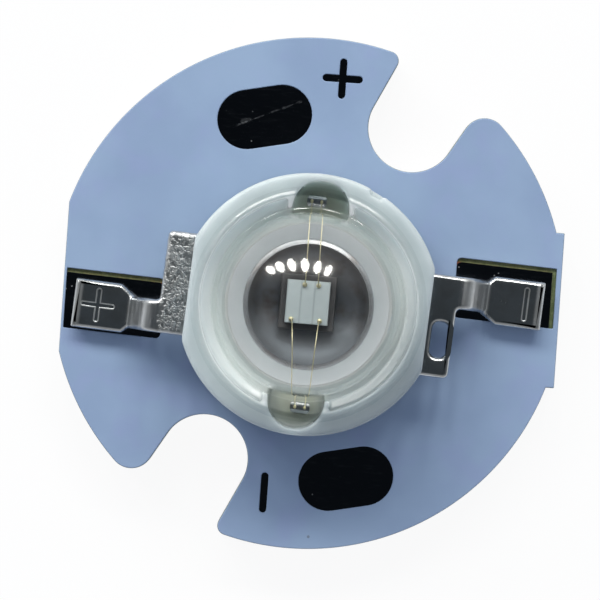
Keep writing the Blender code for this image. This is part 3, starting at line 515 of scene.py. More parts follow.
def body_plastic(at):
    """Milky moulding: a fine grain, soft clouds and yellow by the posts, with painted light under the
    flange and in the groove, and painted shade towards the south-east.
    """
    cloud = at.noise(1.5, 3.0, (1, 1, 2))
    grain = at.noise(0.03, 3.0)
    height = at.part("Z")
    mirrored = at.part("Y").absolute()
    to_post = at.node("ShaderNodeCombineXYZ", {}, {"X": at.part("X"), "Y": mirrored - POCKET_OUT})
    tinge = (1 - to_post.from_axis().between(*TINGE_REACH)) * (1 - height.between(*TINGE_HEIGHT))
    # Painted shade: the colour darkens towards the south-east, where the ring's top faces away from the
    # lamps.
    painted_shade_south_east = (0.55 * at.part("X") - 0.85 * at.part("Y")).between(0.0, 3.7)
    even = cloud.between(0.3, 0.7).shade(rgb(173, 184, 184), rgb(183, 194, 193))
    radius = at.from_axis()
    past_flange = radius.between(FLANGE_RADIUS, FLANGE_RADIUS + FLANGE_FADE)
    past_recess = radius.between(RECESS_RADIUS, RECESS_RADIUS + RECESS_FADE)
    under_flange = radius.between(*UNDER_FLANGE) * (1 - past_flange)
    groove = past_flange * (1 - past_recess)
    # Painted light: the colour is lightened under the flange's edge and in the groove, where the ring's
    # shadow falls.
    thin = (0.6 * under_flange + 0.6 * groove).shade(even, rgb(240, 246, 246))
    clean = painted_shade_south_east.shade(thin, rgb(126, 136, 140))
    lip = 1 - radius.between(*LIP_FADE)
    outer = radius.between(*OUTER_FADE)
    return {
        "Base Color": (0.5 * tinge).shade(clean, rgb(172, 176, 150)),
        "Roughness": 0.16 + 0.1 * grain + 0.3 * outer,
        "Specular IOR Level": 0.7,
        "Subsurface Weight": 1.0,
        "Subsurface Radius": (1.0, 1.0, 1.0),
        "Subsurface Scale": 1.5 * MM,
        "Normal": (0.0025 * grain + 0.0015 * cloud + 0.08 * lip).relief(1.0),
    }


def flash_plastic(at):
    """The same moulding where it is too thin to scatter light inside."""
    cloud = at.noise(0.7, 3.0)
    return {
        "Base Color": cloud.between(0.3, 0.7).shade(rgb(148, 157, 163), rgb(158, 167, 172)),
        "Roughness": 0.3 + 0.1 * cloud,
        "Normal": cloud.relief(0.003),
    }


def lead_metal(at):
    """Silver-plated strip with lines of rolling, rougher where it is folded, rubbed or stamped."""
    rolled = at.noise(0.025, 3.0, (0.05, 1, 1))
    cloud = at.noise(0.6, 3.0)
    mottle = at.noise(0.11, 4.0).between(0.36, 0.64)
    scuff = at.noise(0.07, 4.0, (1, 0.2, 1)).between(0.64, 0.74)
    along = at.part("X")
    out = along.absolute()
    fold_end = FOLD_START + FOLD_RUN
    past_fold = out.between(fold_end - 0.1, fold_end + 0.05)
    folded = out.between(FOLD_START - 0.1, FOLD_START + 0.1) * (1 - past_fold)
    from_plate = (along + (PLATE_START + PLATE_END) / 2).absolute()
    rubbed = (1 - from_plate.between(0.95, 1.05)) * (0.5 + 0.5 * mottle)
    bands = at.noise(0.1, 1.0, (1, 0.05, 0.05)).between(0.3, 0.7)
    tip_end = out.between(LEAD_END - 0.3, LEAD_END - 0.2)
    minus = at.from_line(MINUS_X, MARK_Y, 90, MARK_HALF)
    plus_up = at.from_line(-PLUS_X, -MARK_Y, 90, MARK_HALF)
    plus_across = at.from_line(-PLUS_X, -MARK_Y, 0, MARK_HALF)
    plus = plus_up.sum("MINIMUM", plus_up, plus_across)
    mark = plus.sum("MINIMUM", plus, minus)
    pressed = 1 - (mark - MARK_WIDTH / 2).absolute().between(0.0, MARK_OUTLINE)
    matt = folded * (0.09 + 0.15 * bands) + 0.24 * rubbed + 0.22 * tip_end + 0.34 * pressed
    return {
        "Base Color": cloud.between(0.35, 0.7).shade(rgb(196, 200, 203), rgb(176, 179, 180)),
        "Metallic": 1.0,
        "Roughness": 0.16 + 0.08 * cloud + 0.08 * scuff + matt,
        "Normal": (0.5 * rolled + 0.5 * at.noise(0.3) + 3.0 * rubbed * mottle).relief(0.003),
    }


def clear_lens(at):
    """Clear casting: a bright skin on its dome, and faint flow marks towards its flange."""
    flow = at.noise(0.9, 2.0, (1, 1, 3))
    dome = at.part("Z").between(FLANGE_TOP, FLANGE_TOP + DOME_FADE)
    rim = at.from_axis().between(FLANGE_RADIUS - FLANGE_ROUND, FLANGE_RADIUS - 0.75 * FLANGE_ROUND)
    return {
        "Base Color": flow.shade(rgb(250, 252, 251), rgb(246, 250, 249)),
        "Roughness": 0.012 + 0.03 * (1 - dome) * flow,
        "IOR": 1.36,
        "Transmission Weight": 1.0,
        "Coat Weight": dome + rim,
        "Coat Roughness": 0.12,
        "Coat IOR": 1.75,
    }


def submount_ceramic(at):
    """Sawn grey ceramic with a fine grain."""
    grain = at.noise(0.03, 3.0)
    return {
        "Base Color": grain.shade(rgb(62, 62, 64), rgb(84, 84, 86)),
        "Roughness": 0.35 + 0.2 * grain,
        "Normal": grain.relief(0.002),
    }


def die_crystal(at):
    """The die's face: three pale bands between two thin dark lines, with darker sawn edges."""
    turned = at.node(
        "ShaderNodeMapping",
        {"vector_type": "TEXTURE"},
        {"Vector": at, "Location": (*DIE_OFFSET, 0), "Rotation": (0, 0, math.radians(DIE_TURN))},
    )
    across = turned.part("X")
    first, second = [1 - (across - x).absolute().between(*LINE_FADE) for x in DIE_LINES]
    border = across.absolute().between(0.41, 0.43)
    sawn = 1 - at.part("Z").between(DIE_TOP - 0.03, DIE_TOP - 0.012)
    cloud = at.noise(0.12, 3.0)
    pale = cloud.shade(rgb(174, 186, 191), rgb(184, 195, 199))
    lined = (0.5 * (first + second)).shade(pale, rgb(140, 150, 158))
    edged = (0.4 * border).shade(lined, rgb(150, 158, 162))
    return {
        "Base Color": sawn.shade(edged, rgb(70, 74, 78)),
        "Roughness": 0.25 + 0.1 * cloud,
        "Normal": (first + second).relief(0.002),
    }


def bond_gold(at):
    """Pale drawn gold with fine rubs."""
    rub = at.noise(0.02, 3.0)
    return {
        "Base Color": rub.shade(rgb(230, 224, 190), rgb(212, 202, 160)),
        "Metallic": 1.0,
        "Roughness": 0.36 + 0.16 * rub,
        "Normal": rub.relief(0.001),
    }


def let_light_through(material):
    """A clear material that casts no shadow, as light passes through the real one."""
    tree = material.node_tree
    shader = Socket(tree, tree.nodes["Principled BSDF"].outputs[0])
    shadow = shader.node("ShaderNodeLightPath", output="Is Shadow Ray")
    clear = shader.node("ShaderNodeBsdfTransparent", {}, {"Color": (0.93, 0.93, 0.93, 1)})
    mixed = shader.node("ShaderNodeMixShader", {}, {0: shadow, 1: shader, 2: clear})
    tree.links.new(mixed.output, tree.nodes["Material Output"].inputs["Surface"])
    return material


def arc(centre, radius, start, end, step=3.0):
    """Points on a circle from one angle to another, with both ends."""
    count = max(2, round(abs(end - start) / step))
    angles = [math.radians(start + (end - start) * i / count) for i in range(count + 1)]
    return [centre + radius * Vector((math.cos(a), math.sin(a))) for a in angles]


def turned_by(points, degrees):
    rotation = Matrix.Rotation(math.radians(degrees), 2)
    return [rotation @ point for point in points]


def rounded(corners, steps=6, closed=True):
    """The line through corners given as (point, radius), a radius of 0 keeping its corner sharp."""
    points = []
    for i, (corner, radius) in enumerate(corners):
        if radius == 0:
            points.append(corner)
            continue
        before = corners[i - 1][0] - corner
        after = corners[(i + 1) % len(corners)][0] - corner
        half_turn = (math.pi - before.angle(after)) / 2
        reach = min(radius * math.tan(half_turn), FILLET_LIMIT * min(before.length, after.length))
        start = corner + before.normalized() * reach
        end = corner + after.normalized() * reach
        for k in range(steps + 1):
            share = k / steps
            points.append(start.lerp(corner, share).lerp(corner.lerp(end, share), share))
    return points


def sharp(points):
    return [(point, 0) for point in points]


def from_object(obj):
    """What an object shows with its modifiers, as a new bmesh. The object goes."""
    bpy.context.scene.collection.objects.link(obj)
    graph = bpy.context.evaluated_depsgraph_get()
    mesh = bpy.data.meshes.new_from_object(obj.evaluated_get(graph))
    shape = bmesh.new()
    shape.from_mesh(mesh)
    bpy.data.meshes.remove(mesh)
    bpy.data.objects.remove(obj)
    bmesh.ops.remove_doubles(shape, verts=shape.verts, dist=WELD)
    return shape


def to_object(shape):
    mesh = bpy.data.meshes.new("blank")
    shape.to_mesh(mesh)
    shape.free()
    return bpy.data.objects.new("blank", mesh)


def sheet(loops, bottom, top, edge, steps=2):
    """The area between closed loops as a plate with rounded edges."""
    curve = bpy.data.curves.new("outline", "CURVE")
    curve.dimensions = "2D"
    curve.fill_mode = "BOTH"
    curve.bevel_depth = edge
    curve.bevel_resolution = steps
    curve.offset = -edge
    curve.extrude = (top - bottom) / 2 - edge
    for loop in loops:
        spline = curve.splines.new("POLY")
        spline.points.add(len(loop) - 1)
        for point, (x, y) in zip(spline.points, loop):
            point.co = (x, y, 0, 1)
        spline.use_cyclic_u = True
    shape = from_object(bpy.data.objects.new("outline", curve))
    bmesh.ops.translate(shape, verts=shape.verts, vec=(0, 0, (bottom + top) / 2))
    return shape


def turned(profile, steps=128):
    """A body turned about the Z axis from a line of (radius, height) points."""
    shape = bmesh.new()
    verts = [shape.verts.new((radius, 0, height)) for radius, height in profile]
    edges = [shape.edges.new(pair) for pair in zip(verts, verts[1:])]
    bmesh.ops.spin(
        shape,
        geom=verts + edges,
        cent=(0, 0, 0),
        axis=(0, 0, 1),
        angle=2 * math.pi,
        steps=steps,
        use_merge=True,
    )
    bmesh.ops.remove_doubles(shape, verts=shape.verts, dist=WELD)
    bmesh.ops.recalc_face_normals(shape, faces=shape.faces)
    return shape


def column(radius, bottom, top, x=0.0, y=0.0, segments=64):
    shape = bmesh.new()
    bmesh.ops.create_cone(
        shape, cap_ends=True, segments=segments, radius1=radius, radius2=radius, depth=top - bottom
    )
    bmesh.ops.translate(shape, verts=shape.verts, vec=(x, y, (bottom + top) / 2))
    return shape


def block(size, centre, turn=0.0, edge=0.0):
    """A block with softened edges, turned about its own upright axis."""
    shape = bmesh.new()
    bmesh.ops.create_cube(shape, size=1.0)
    bmesh.ops.scale(shape, verts=shape.verts, vec=size)
    if edge:
        bmesh.ops.bevel(
            shape, geom=shape.edges[:], offset=edge, segments=3, profile=0.5, affect="EDGES", material=-1
        )
    bmesh.ops.rotate(shape, verts=shape.verts, matrix=Matrix.Rotation(math.radians(turn), 3, "Z"))
    bmesh.ops.translate(shape, verts=shape.verts, vec=centre)
    return shape


def combined(shape, operation, *others):
    """The shape joined with others, or cut by them."""
    obj = to_object(shape)
    cutters = [to_object(other) for other in others]
    for cutter in cutters:
        bpy.context.scene.collection.objects.link(cutter)
        boolean = obj.modifiers.new("Boolean", "BOOLEAN")
        boolean.operation = operation
        boolean.solver = "EXACT"
        boolean.object = cutter
    made = from_object(obj)
    for cutter in cutters:
        bpy.data.objects.remove(cutter)
    return made


def joined(*shapes):
    """Separate shapes gathered into one."""
    mesh = bpy.data.meshes.new("gathered")
    whole = bmesh.new()
    for shape in shapes:
        shape.to_mesh(mesh)
        shape.free()
        whole.from_mesh(mesh)
    bpy.data.meshes.remove(mesh)
    return whole


def piece(name, shape, material, nodes, seated=True, crease=CREASE):
    """A finished object in the board's frame, riding on the part in the place of its CAD nodes."""
    bmesh.ops.recalc_face_normals(shape, faces=shape.faces)
    if seated:
        bmesh.ops.transform(shape, matrix=SEAT, verts=shape.verts)
    bmesh.ops.scale(shape, verts=shape.verts, vec=(MM, MM, MM))
    mesh = bpy.data.meshes.new(name)
    shape.to_mesh(mesh)
    shape.free()
    mesh.materials.append(material)
    mesh.shade_smooth()
    obj = bpy.data.objects.new(name, mesh)
    bpy.context.scene.collection.objects.link(obj)
    mesh.set_sharp_from_angle(angle=math.radians(crease))
    normals = obj.modifiers.new("Flat faces stay flat", "WEIGHTED_NORMAL")
    normals.keep_sharp = True
    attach(obj, "root")
    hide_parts(*nodes)
    return obj


def notch_lip(rounding, inset):
    """The corner of a notch's upper flank and the rim: its angle at the rim, and its points."""
    flare = math.radians(NOTCH_FLARE)
    flank = Vector((math.cos(flare), math.sin(flare)))
    across = Vector((-math.sin(flare), math.cos(flare)))
    foot = Vector((BOARD_RADIUS - NOTCH_DEPTH + NOTCH_RADIUS, 0)) + across * (NOTCH_RADIUS + rounding)
    along = foot.dot(flank)
    reach = BOARD_RADIUS - rounding
    middle = foot + flank * (math.sqrt(along**2 - foot.length_squared + reach**2) - along)
    rim_angle = math.degrees(math.atan2(middle.y, middle.x))
    return rim_angle, arc(middle, rounding - inset, NOTCH_FLARE - 90, rim_angle, 6.0)


def notch(angle, inset):
    """The angles of a notch's wide and tight lip at the rim, and its points from the one to the other."""
    centre = Vector((BOARD_RADIUS - NOTCH_DEPTH + NOTCH_RADIUS, 0))
    wide_angle, wide = notch_lip(NOTCH_LIP_WIDE, inset)
    tight_angle, tight = notch_lip(NOTCH_LIP_TIGHT, inset)
    mirrored = [Vector((point.x, -point.y)) for point in wide[::-1]]
    bottom = arc(centre, NOTCH_RADIUS + inset, 270 - NOTCH_FLARE, 90 + NOTCH_FLARE)
    return wide_angle, tight_angle, turned_by([*mirrored, *bottom, *tight], angle)


def board_outline(inset=0.0):
    """The board's outline, moved inwards by the inset."""
    radius = BOARD_RADIUS - inset
    tab_x = TAB_X - inset
    tab_y = TAB_WIDTH / 2 - inset
    flat_half = math.degrees(math.acos((FLAT_X - inset) / radius))
    tab_half = math.degrees(math.asin(tab_y / radius))
    wide, tight, first_notch = notch(NOTCH_ANGLE, inset)
    _, _, second_notch = notch(NOTCH_ANGLE + 180, inset)

    def rim(start, end):
        return arc(Vector((0, 0)), radius, start, end, 1.5)

    return rounded(
        [
            (Vector((tab_x, tab_y)), TAB_ROUND),
            *sharp(rim(tab_half, NOTCH_ANGLE - wide)[:-1]),
            *sharp(first_notch),
            *sharp(rim(NOTCH_ANGLE + tight, 180 - flat_half)[1:]),
            *sharp(rim(180 + flat_half, NOTCH_ANGLE + 180 - wide)[:-1]),
            *sharp(second_notch),
            *sharp(rim(NOTCH_ANGLE + 180 + tight, 360 - tab_half)[1:]),
            (Vector((tab_x, -tab_y)), TAB_ROUND),
        ]
    )


def on_board(x, y):
    """A point of the emitter's frame in the board's frame."""
    return (SEAT @ Vector((x, y, 0))).xy


def pad_outline(side, outer=0.0, north=0.0):
    """A lead pad's opening, two of its edges moved inwards: side 1 is negative, -1 is positive."""
    pad = NEGATIVE_PAD if side > 0 else POSITIVE_PAD
    end = LEAD_END + pad["beyond"]
    near = side * (end - pad["length"])
    far = side * (end - outer)
    tip_start, _ = folded_down(FOLD_START + FOLD_LENGTH, 0)
    middle = on_board(side * (tip_start + LEAD_END) / 2, side * MARK_Y)
    slope = math.tan(math.radians(PAD_TILT))

    def corner(x, across):
        return Vector((x, middle.y + pad["shift"] + (x - middle.x) * slope + across))

    south_edge = -PAD_WIDTH / 2
    north_edge = PAD_WIDTH / 2 - north
    return rounded(
        [
            (corner(near, south_edge), PAD_INNER_ROUND),
            (corner(far, south_edge), PAD_OUTER_ROUND),
            (corner(far, north_edge), PAD_OUTER_ROUND),
            (corner(near, north_edge), PAD_INNER_ROUND),
        ]
    )


def stadium(centre, length, width, turn):
    """An outline with straight sides and half-round ends."""
    radius = width / 2
    reach = Vector(((length - width) / 2, 0))
    points = arc(reach, radius, -90, 90, 7.5) + arc(-reach, radius, 90, 270, 7.5)
    return [centre + point for point in turned_by(points, turn)]


def middle_of(node):
    low, high = span(node)
    return ((low + high) / 2).xy


def wire_pad_outline(node):
    return stadium(middle_of(node), WIRE_PAD_LENGTH, WIRE_PAD_WIDTH, WIRE_PAD_TURN)


def plus_outline():
    """A plus sign with round ends."""
    half = SIGN_WIDTH / 2
    arm = arc(Vector(((SIGN_LENGTH - SIGN_WIDTH) / 2, 0)), half, -90, 90, 15) + [Vector((half, half))]
    points = [point for quarter in range(4) for point in turned_by(arm, 90 * quarter)]
    return [middle_of("tin_plus") + point for point in points]


def minus_outline():
    return stadium(middle_of("tin_minus"), SIGN_LENGTH, SIGN_WIDTH, 90)


def make_board():
    """The core, the laminate on it, and the lacquer with its openings."""
    core = sheet([board_outline()], 0, CORE_TOP, CORE_EDGE)
    metal = finish("aluminium core", aluminium_core)
    piece("core_plate", core, metal, ["base_plate"], False, SHEET_CREASE)
    laminate = sheet([board_outline()], CORE_TOP, LAMINATE_TOP, LAMINATE_EDGE, 1)
    olive = finish("laminate", laminate_olive)
    piece("laminate_sheet", laminate, olive, ["dielectric_layer"], False, SHEET_CREASE)
    openings = [
        arc(Vector((SEAT_X, SEAT_Y)), CENTRE_OPENING, 0, 360, 6)[:-1],
        pad_outline(1),
        pad_outline(-1),
        wire_pad_outline("tin_wire_positive"),
        wire_pad_outline("tin_wire_negative"),
        plus_outline(),
        minus_outline(),
    ]
    mask = sheet([board_outline(MASK_INSET), *openings], LAMINATE_TOP, MASK_TOP, MASK_EDGE)
    lacquer = finish("mask lacquer", mask_lacquer)
    piece("mask_coat", mask, lacquer, ["solder_mask"], False, SHEET_CREASE)


def make_tin():
    """The tin on each bare area of copper."""
    tin = finish("levelled tin", pad_tin)
    outlines = {
        "tin_lead_negative": pad_outline(1, outer=SLIT_WIDTH, north=SLIT_WIDTH),
        "tin_lead_positive": pad_outline(-1, north=SLIT_WIDTH),
        "tin_wire_negative": wire_pad_outline("tin_wire_negative"),
        "tin_wire_positive": wire_pad_outline("tin_wire_positive"),
        "tin_plus": plus_outline(),
        "tin_minus": minus_outline(),
    }
    for node, outline in outlines.items():
        shape = sheet([outline], COPPER_TOP, TIN_TOP, TIN_EDGE)
        piece("bright_" + node, shape, tin, [node], False, SHEET_CREASE)


def repaint(material, *nodes):
    """A new finish on CAD nodes that are shown as they are."""
    for node in nodes:
        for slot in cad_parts[node].material_slots:
            slot.material = material


def cup_wall(outwards=0.0):
    """The cup's curved wall, from the edge of its floor up to its rim."""
    points = []
    for step in range(CUP_STEPS + 1):
        angle = math.radians(90 * step / CUP_STEPS)
        radius = CUP_EDGE - CUP_SPREAD * (1 - math.sin(angle))
        height = CUP_FLOOR + (CUP_DEPTH + RIM_RISE) * (1 - math.cos(angle))
        points.append((radius + outwards, height - outwards))
    return points


def make_slug():
    """The turned slug: a sharp edge round the cup, whose shoulder then falls away outwards."""
    tilt = math.radians(SHOULDER_TILT)
    crest = Vector((CUP_EDGE, SLUG_HEIGHT + RIM_RISE))
    middle = crest - SHOULDER_ROUND * Vector((math.sin(tilt), math.cos(tilt)))
    last = math.degrees(math.acos((CUP_EDGE + CUP_SHOULDER - middle.x) / SHOULDER_ROUND))
    shoulder = arc(middle, SHOULDER_ROUND, 90 - SHOULDER_TILT, last)
    corners = [
        *sharp(shoulder),
        (Vector((CUP_EDGE + CUP_SHOULDER, SLUG_HEIGHT - 2 * CUP_SHOULDER)), 0),
        (Vector((STEM_RADIUS, SLUG_HEIGHT - 2 * CUP_SHOULDER)), 0),
        (Vector((STEM_RADIUS, SLUG_FOOT)), 0),
        (Vector((SLUG_RADIUS, SLUG_FOOT)), SLUG_EDGE),
        (Vector((SLUG_RADIUS, 0)), SLUG_EDGE),
        (Vector((0, 0)), 0),
    ]
    profile = [(0, CUP_FLOOR), *cup_wall()[:-1], *rounded(corners)]
    silver = finish("slug silver", slug_silver, seated=True)
    piece("turned_slug", turned(profile), silver, ["heat_slug"])


def over_posts(radius, bottom, top):
    """An upright column over each of the two posts."""
    return [column(radius, bottom, top, 0, side * POCKET_OUT) for side in (1, -1)]


def make_body():
    """The moulded ring, softened all over as a moulding is, with its thin flash over the slug's rim."""
    corners = [
        (Vector((STEM_RADIUS, BODY_FOOT)), 0),
        (Vector((STEM_RADIUS, SLUG_HEIGHT)), 0),
        (Vector((FLANGE_RADIUS, SLUG_HEIGHT)), 0),
        (Vector((FLANGE_RADIUS, SLUG_HEIGHT + GROOVE_INNER)), 0),
        (Vector((RECESS_RADIUS, SLUG_HEIGHT + GROOVE_OUTER)), 0),
        (Vector((RECESS_RADIUS, BODY_TOP)), RECESS_ROUND),
        (Vector((BODY_RADIUS, BODY_TOP)), BODY_ROUND),
        (Vector((BODY_RADIUS, BODY_FOOT)), BODY_CHAMFER),
        (Vector((STEM_RADIUS, BODY_FOOT)), 0),
    ]
    ring = turned(rounded(corners))
    lens_room = column(FLANGE_RADIUS, 0, BODY_TOP, segments=128)
    lands = joined(*over_posts(LAND_RADIUS, POCKET_FLOOR, LAND_TOP))
    ring = combined(ring, "UNION", combined(lands, "DIFFERENCE", lens_room))
    above = BODY_TOP + 1
    pockets = over_posts(POCKET_RADIUS, POCKET_FLOOR, above)
    flat_size = (FLAT_CUT, 2 * BODY_RADIUS, above)
    flat_x = FLAT_AT + FLAT_CUT / 2
    flats = [block(flat_size, (side * flat_x, 0, above / 2)) for side in (1, -1)]
    gate_at = turned_by([Vector((BODY_RADIUS, 0))], GATE_ANGLE)[0]
    gate = block(GATE_SIZE, (*gate_at, BODY_TOP), GATE_ANGLE)
    cut = to_object(combined(ring, "DIFFERENCE", *pockets, *flats, gate))
    remesh = cut.modifiers.new("Mould grain", "REMESH")
    remesh.mode = "VOXEL"
    remesh.voxel_size = MOULD_GRAIN
    soft = from_object(cut)
    for _ in range(MOULD_SOFTENING):
        bmesh.ops.smooth_vert(
            soft, verts=soft.verts, factor=0.5, use_axis_x=True, use_axis_y=True, use_axis_z=True
        )
    plastic = finish("milky plastic", body_plastic, seated=True)
    piece("moulded_body", soft, plastic, ["body"])
    inner = CUP_EDGE + CUP_SHOULDER
    outer = STEM_RADIUS + FLASH_REACH
    low = SLUG_HEIGHT - FLASH
    high = SLUG_HEIGHT + FLASH
    flash = turned([(inner, low), (inner, high), (outer, high), (outer, low), (inner, low)])
    thin = finish("thin plastic", flash_plastic, seated=True)
    piece("moulded_flash", flash, thin, ["body"])


def make_lens():
    """The dome, its flange and the gel under it, as one clear body that reaches into the cup."""
    bottom = SLUG_HEIGHT - CLEAR_TUCK
    dome = arc(Vector((0, FLANGE_TOP)), DOME_RADIUS, 90, 0, 2.0)
    rim_centre = Vector((FLANGE_RADIUS - FLANGE_ROUND, FLANGE_TOP - FLANGE_ROUND))
    flange = [*arc(rim_centre, FLANGE_ROUND, 90, 0, 10), (FLANGE_RADIUS, bottom)]
    cup = [(radius, height) for radius, height in cup_wall(CLEAR_SWELL)[::-1] if height < bottom]
    under = [(CUP_EDGE + CUP_SHOULDER + CLEAR_SWELL, bottom), *cup, (0, CUP_FLOOR - CLEAR_SWELL)]
    clear = turned([(0, dome[0].y), *dome[1:], *flange, *under])
    wells = over_posts(POCKET_RADIUS + WELL_SWELL, POCKET_FLOOR - WELL_SWELL, SLUG_HEIGHT)
    clear = combined(clear, "UNION", *wells)
    casting = let_light_through(finish("clear casting", clear_lens, seated=True))
    piece("clear_dome", clear, casting, ["lens", "silicone_fill"])


def folded_down(x, height):
    """Where a point of the flat strip comes to lie past the fold, along X and up."""
    past = max(x - FOLD_START, 0)
    left = max(FOLD_LENGTH - past, 0)
    angle = min(past / BEND_RADIUS, BEND_TURN, left / BEND_RADIUS)
    if past <= FOLD_ARC:
        run = BEND_RADIUS * math.sin(angle) + min(x - FOLD_START, 0)
        drop = BEND_RADIUS * (1 - math.cos(angle))
    elif left >= FOLD_ARC:
        straight = past - FOLD_ARC
        run = BEND_RADIUS * math.sin(BEND_TURN) + straight * math.cos(BEND_TURN)
        drop = BEND_RADIUS * (1 - math.cos(BEND_TURN)) + straight * math.sin(BEND_TURN)
    else:
        run = FOLD_RUN - BEND_RADIUS * math.sin(angle) + max(past - FOLD_LENGTH, 0)
        drop = FOLD_DROP - BEND_RADIUS * (1 - math.cos(angle))
    return FOLD_START + run + height * math.sin(angle), height * math.cos(angle) - drop


def folded_up(y, height):
    """Where a point of the flat tab comes to lie past the post's fold, along Y and up."""
    past = POST_FOLD_START - y
    angle = min(past / BEND_RADIUS, math.pi / 2)
    rest = max(past - BEND_RADIUS * math.pi / 2, 0)
    out = BEND_RADIUS * math.sin(angle) - height * math.sin(angle)
    return POST_FOLD_START - out, BEND_RADIUS * (1 - math.cos(angle)) + rest + height * math.cos(angle)


def lead_outline():
    """The flat strip that the right lead is folded from, and the slot that only this lead has."""
    quarter = BEND_RADIUS * math.pi / 2
    post_end = POST_FOLD_START - quarter - (POST_TOP - LEAD_MIDDLE - BEND_RADIUS)
    arm_end = -90 + math.degrees(math.asin(POST_WEST / ARM_INNER))
    arm_back = -90 + math.degrees(math.asin(POST_EAST / ARM_OUTER))
    arm_foot = math.degrees(math.asin(PLATE_SOUTH / ARM_OUTER))
    stretch = FOLD_LENGTH - FOLD_RUN
    tip_start = FOLD_START + FOLD_LENGTH
    tip_end = LEAD_END + stretch
    origin = Vector((0, 0))
    corners = [
        *sharp([Vector((PLATE_START, PLATE_NORTH)), Vector((PLATE_START, PLATE_FOOT))]),
        *sharp(arc(origin, ARM_INNER, ARM_START, arm_end, ARM_STEP)),
        *sharp([Vector((POST_WEST, post_end)), Vector((POST_EAST, post_end))]),
        *sharp(arc(origin, ARM_OUTER, arm_back, arm_foot, ARM_STEP)),
        (Vector((PLATE_END, PLATE_SOUTH)), PLATE_ROUND),
        (Vector((PLATE_END, NECK_SOUTH)), NECK_FILLET),
        (Vector((tip_start - SOUTH_STEP, NECK_SOUTH)), SOUTH_STEP_ROUND),
        (Vector((tip_start + SOUTH_STEP, TIP_SOUTH)), SOUTH_STEP_ROUND),
        (Vector((tip_end, TIP_SOUTH)), TIP_ROUND),
        (Vector((tip_end, TIP_NORTH)), TIP_ROUND),
        (Vector((tip_start + NORTH_STEP, TIP_NORTH)), NORTH_STEP_ROUND),
        (Vector((tip_start - NORTH_STEP, PLATE_NORTH)), NORTH_STEP_ROUND),
    ]
    slot = [
        (Vector((SLOT_WEST, SLOT_SOUTH)), SLOT_ROUND),
        (Vector((SLOT_EAST, SLOT_SOUTH)), SLOT_ROUND),
        (Vector((SLOT_EAST, SLOT_NORTH)), SLOT_ROUND),
        (Vector((SLOT_WEST, SLOT_NORTH)), SLOT_ROUND),
    ]
    return [rounded(corners), rounded(slot)]


def lead_strip(slotted):
    """The right lead: the strip with its rolled edges, folded down to its tip and up to its post."""
    half = LEAD_THICKNESS / 2
    outline, slot = lead_outline()
    shape = sheet([outline, slot] if slotted else [outline], -half, half, LEAD_EDGE, 4)
    cuts = []
    for step in range(BEND_STEPS + 1):
        share = step / BEND_STEPS
        cuts.append(((FOLD_START + FOLD_ARC * share, 0, 0), (1, 0, 0)))
        cuts.append(((FOLD_START + FOLD_LENGTH - FOLD_ARC * share, 0, 0), (1, 0, 0)))
        cuts.append(((0, POST_FOLD_START - BEND_RADIUS * math.pi / 2 * share, 0), (0, 1, 0)))
    for point, normal in cuts:
        everything = shape.verts[:] + shape.edges[:] + shape.faces[:]
        bmesh.ops.bisect_plane(shape, geom=everything, dist=WELD, plane_co=point, plane_no=normal)
    for vert in shape.verts:
        if vert.co.x > FOLD_START:
            vert.co.x, vert.co.z = folded_down(vert.co.x, vert.co.z)
        elif vert.co.y < POST_FOLD_START:
            vert.co.y, vert.co.z = folded_up(vert.co.y, vert.co.z)
    bmesh.ops.translate(shape, verts=shape.verts, vec=(0, 0, LEAD_MIDDLE))
    return shape


def stamped_bar(x, y, turn):
    """The punch of one bar of a stamped sign, sunk in the tip's top."""
    top = TIP_MIDDLE + LEAD_THICKNESS / 2
    bar = stadium(Vector((x, y)), MARK_LENGTH, MARK_WIDTH, turn)
    return sheet([bar], top - MARK_DEPTH, top + 3 * MARK_DEPTH, MARK_EDGE)


def make_leads():
    """Both leads, with a stamped plus on the left one and a stamped minus on the right one."""
    metal = finish("plated lead", lead_metal, seated=True)
    cathode = combined(lead_strip(True), "DIFFERENCE", stamped_bar(MINUS_X, MARK_Y, 90))
    plus = combined(stamped_bar(PLUS_X, MARK_Y, 90), "UNION", stamped_bar(PLUS_X, MARK_Y, 0))
    anode = combined(lead_strip(False), "DIFFERENCE", plus)
    bmesh.ops.rotate(anode, verts=anode.verts, matrix=Matrix.Rotation(math.pi, 3, "Z"))
    piece("stamped_cathode", cathode, metal, ["cathode_lead"])
    piece("stamped_anode", anode, metal, ["anode_lead"])


def make_solder():
    """The slab of solder under each tip, a little proud of it at its foot."""
    solder = finish("tip solder", joint_solder)
    for node in ("solder_negative", "solder_positive"):
        outline = stadium(middle_of(node), SOLDER_LENGTH, SOLDER_WIDTH, SEAT_TURN)
        slab = sheet([outline], TIN_TOP, span(node)[1].z + SOLDER_SWELL, SOLDER_EDGE)
        piece("reflowed_" + node, slab, solder, [node], False)


def make_die_stack():
    """The die on its carrier, both square and a little turned in the cup."""
    ceramic = finish("submount ceramic", submount_ceramic, seated=True)
    crystal = finish("die crystal", die_crystal, seated=True)
    submount_size = (SUBMOUNT_SIDE, SUBMOUNT_SIDE, CHIP_THICKNESS)
    submount = block(submount_size, (*DIE_OFFSET, SUBMOUNT_MIDDLE), DIE_TURN, SUBMOUNT_EDGE)
    piece("sawn_submount", submount, ceramic, ["submount"])
    die_size = (DIE_SIDE, DIE_SIDE, CHIP_THICKNESS)
    die = block(die_size, (*DIE_OFFSET, DIE_TOP - CHIP_THICKNESS / 2), DIE_TURN, DIE_EDGE)
    piece("sawn_die", die, crystal, ["die"])


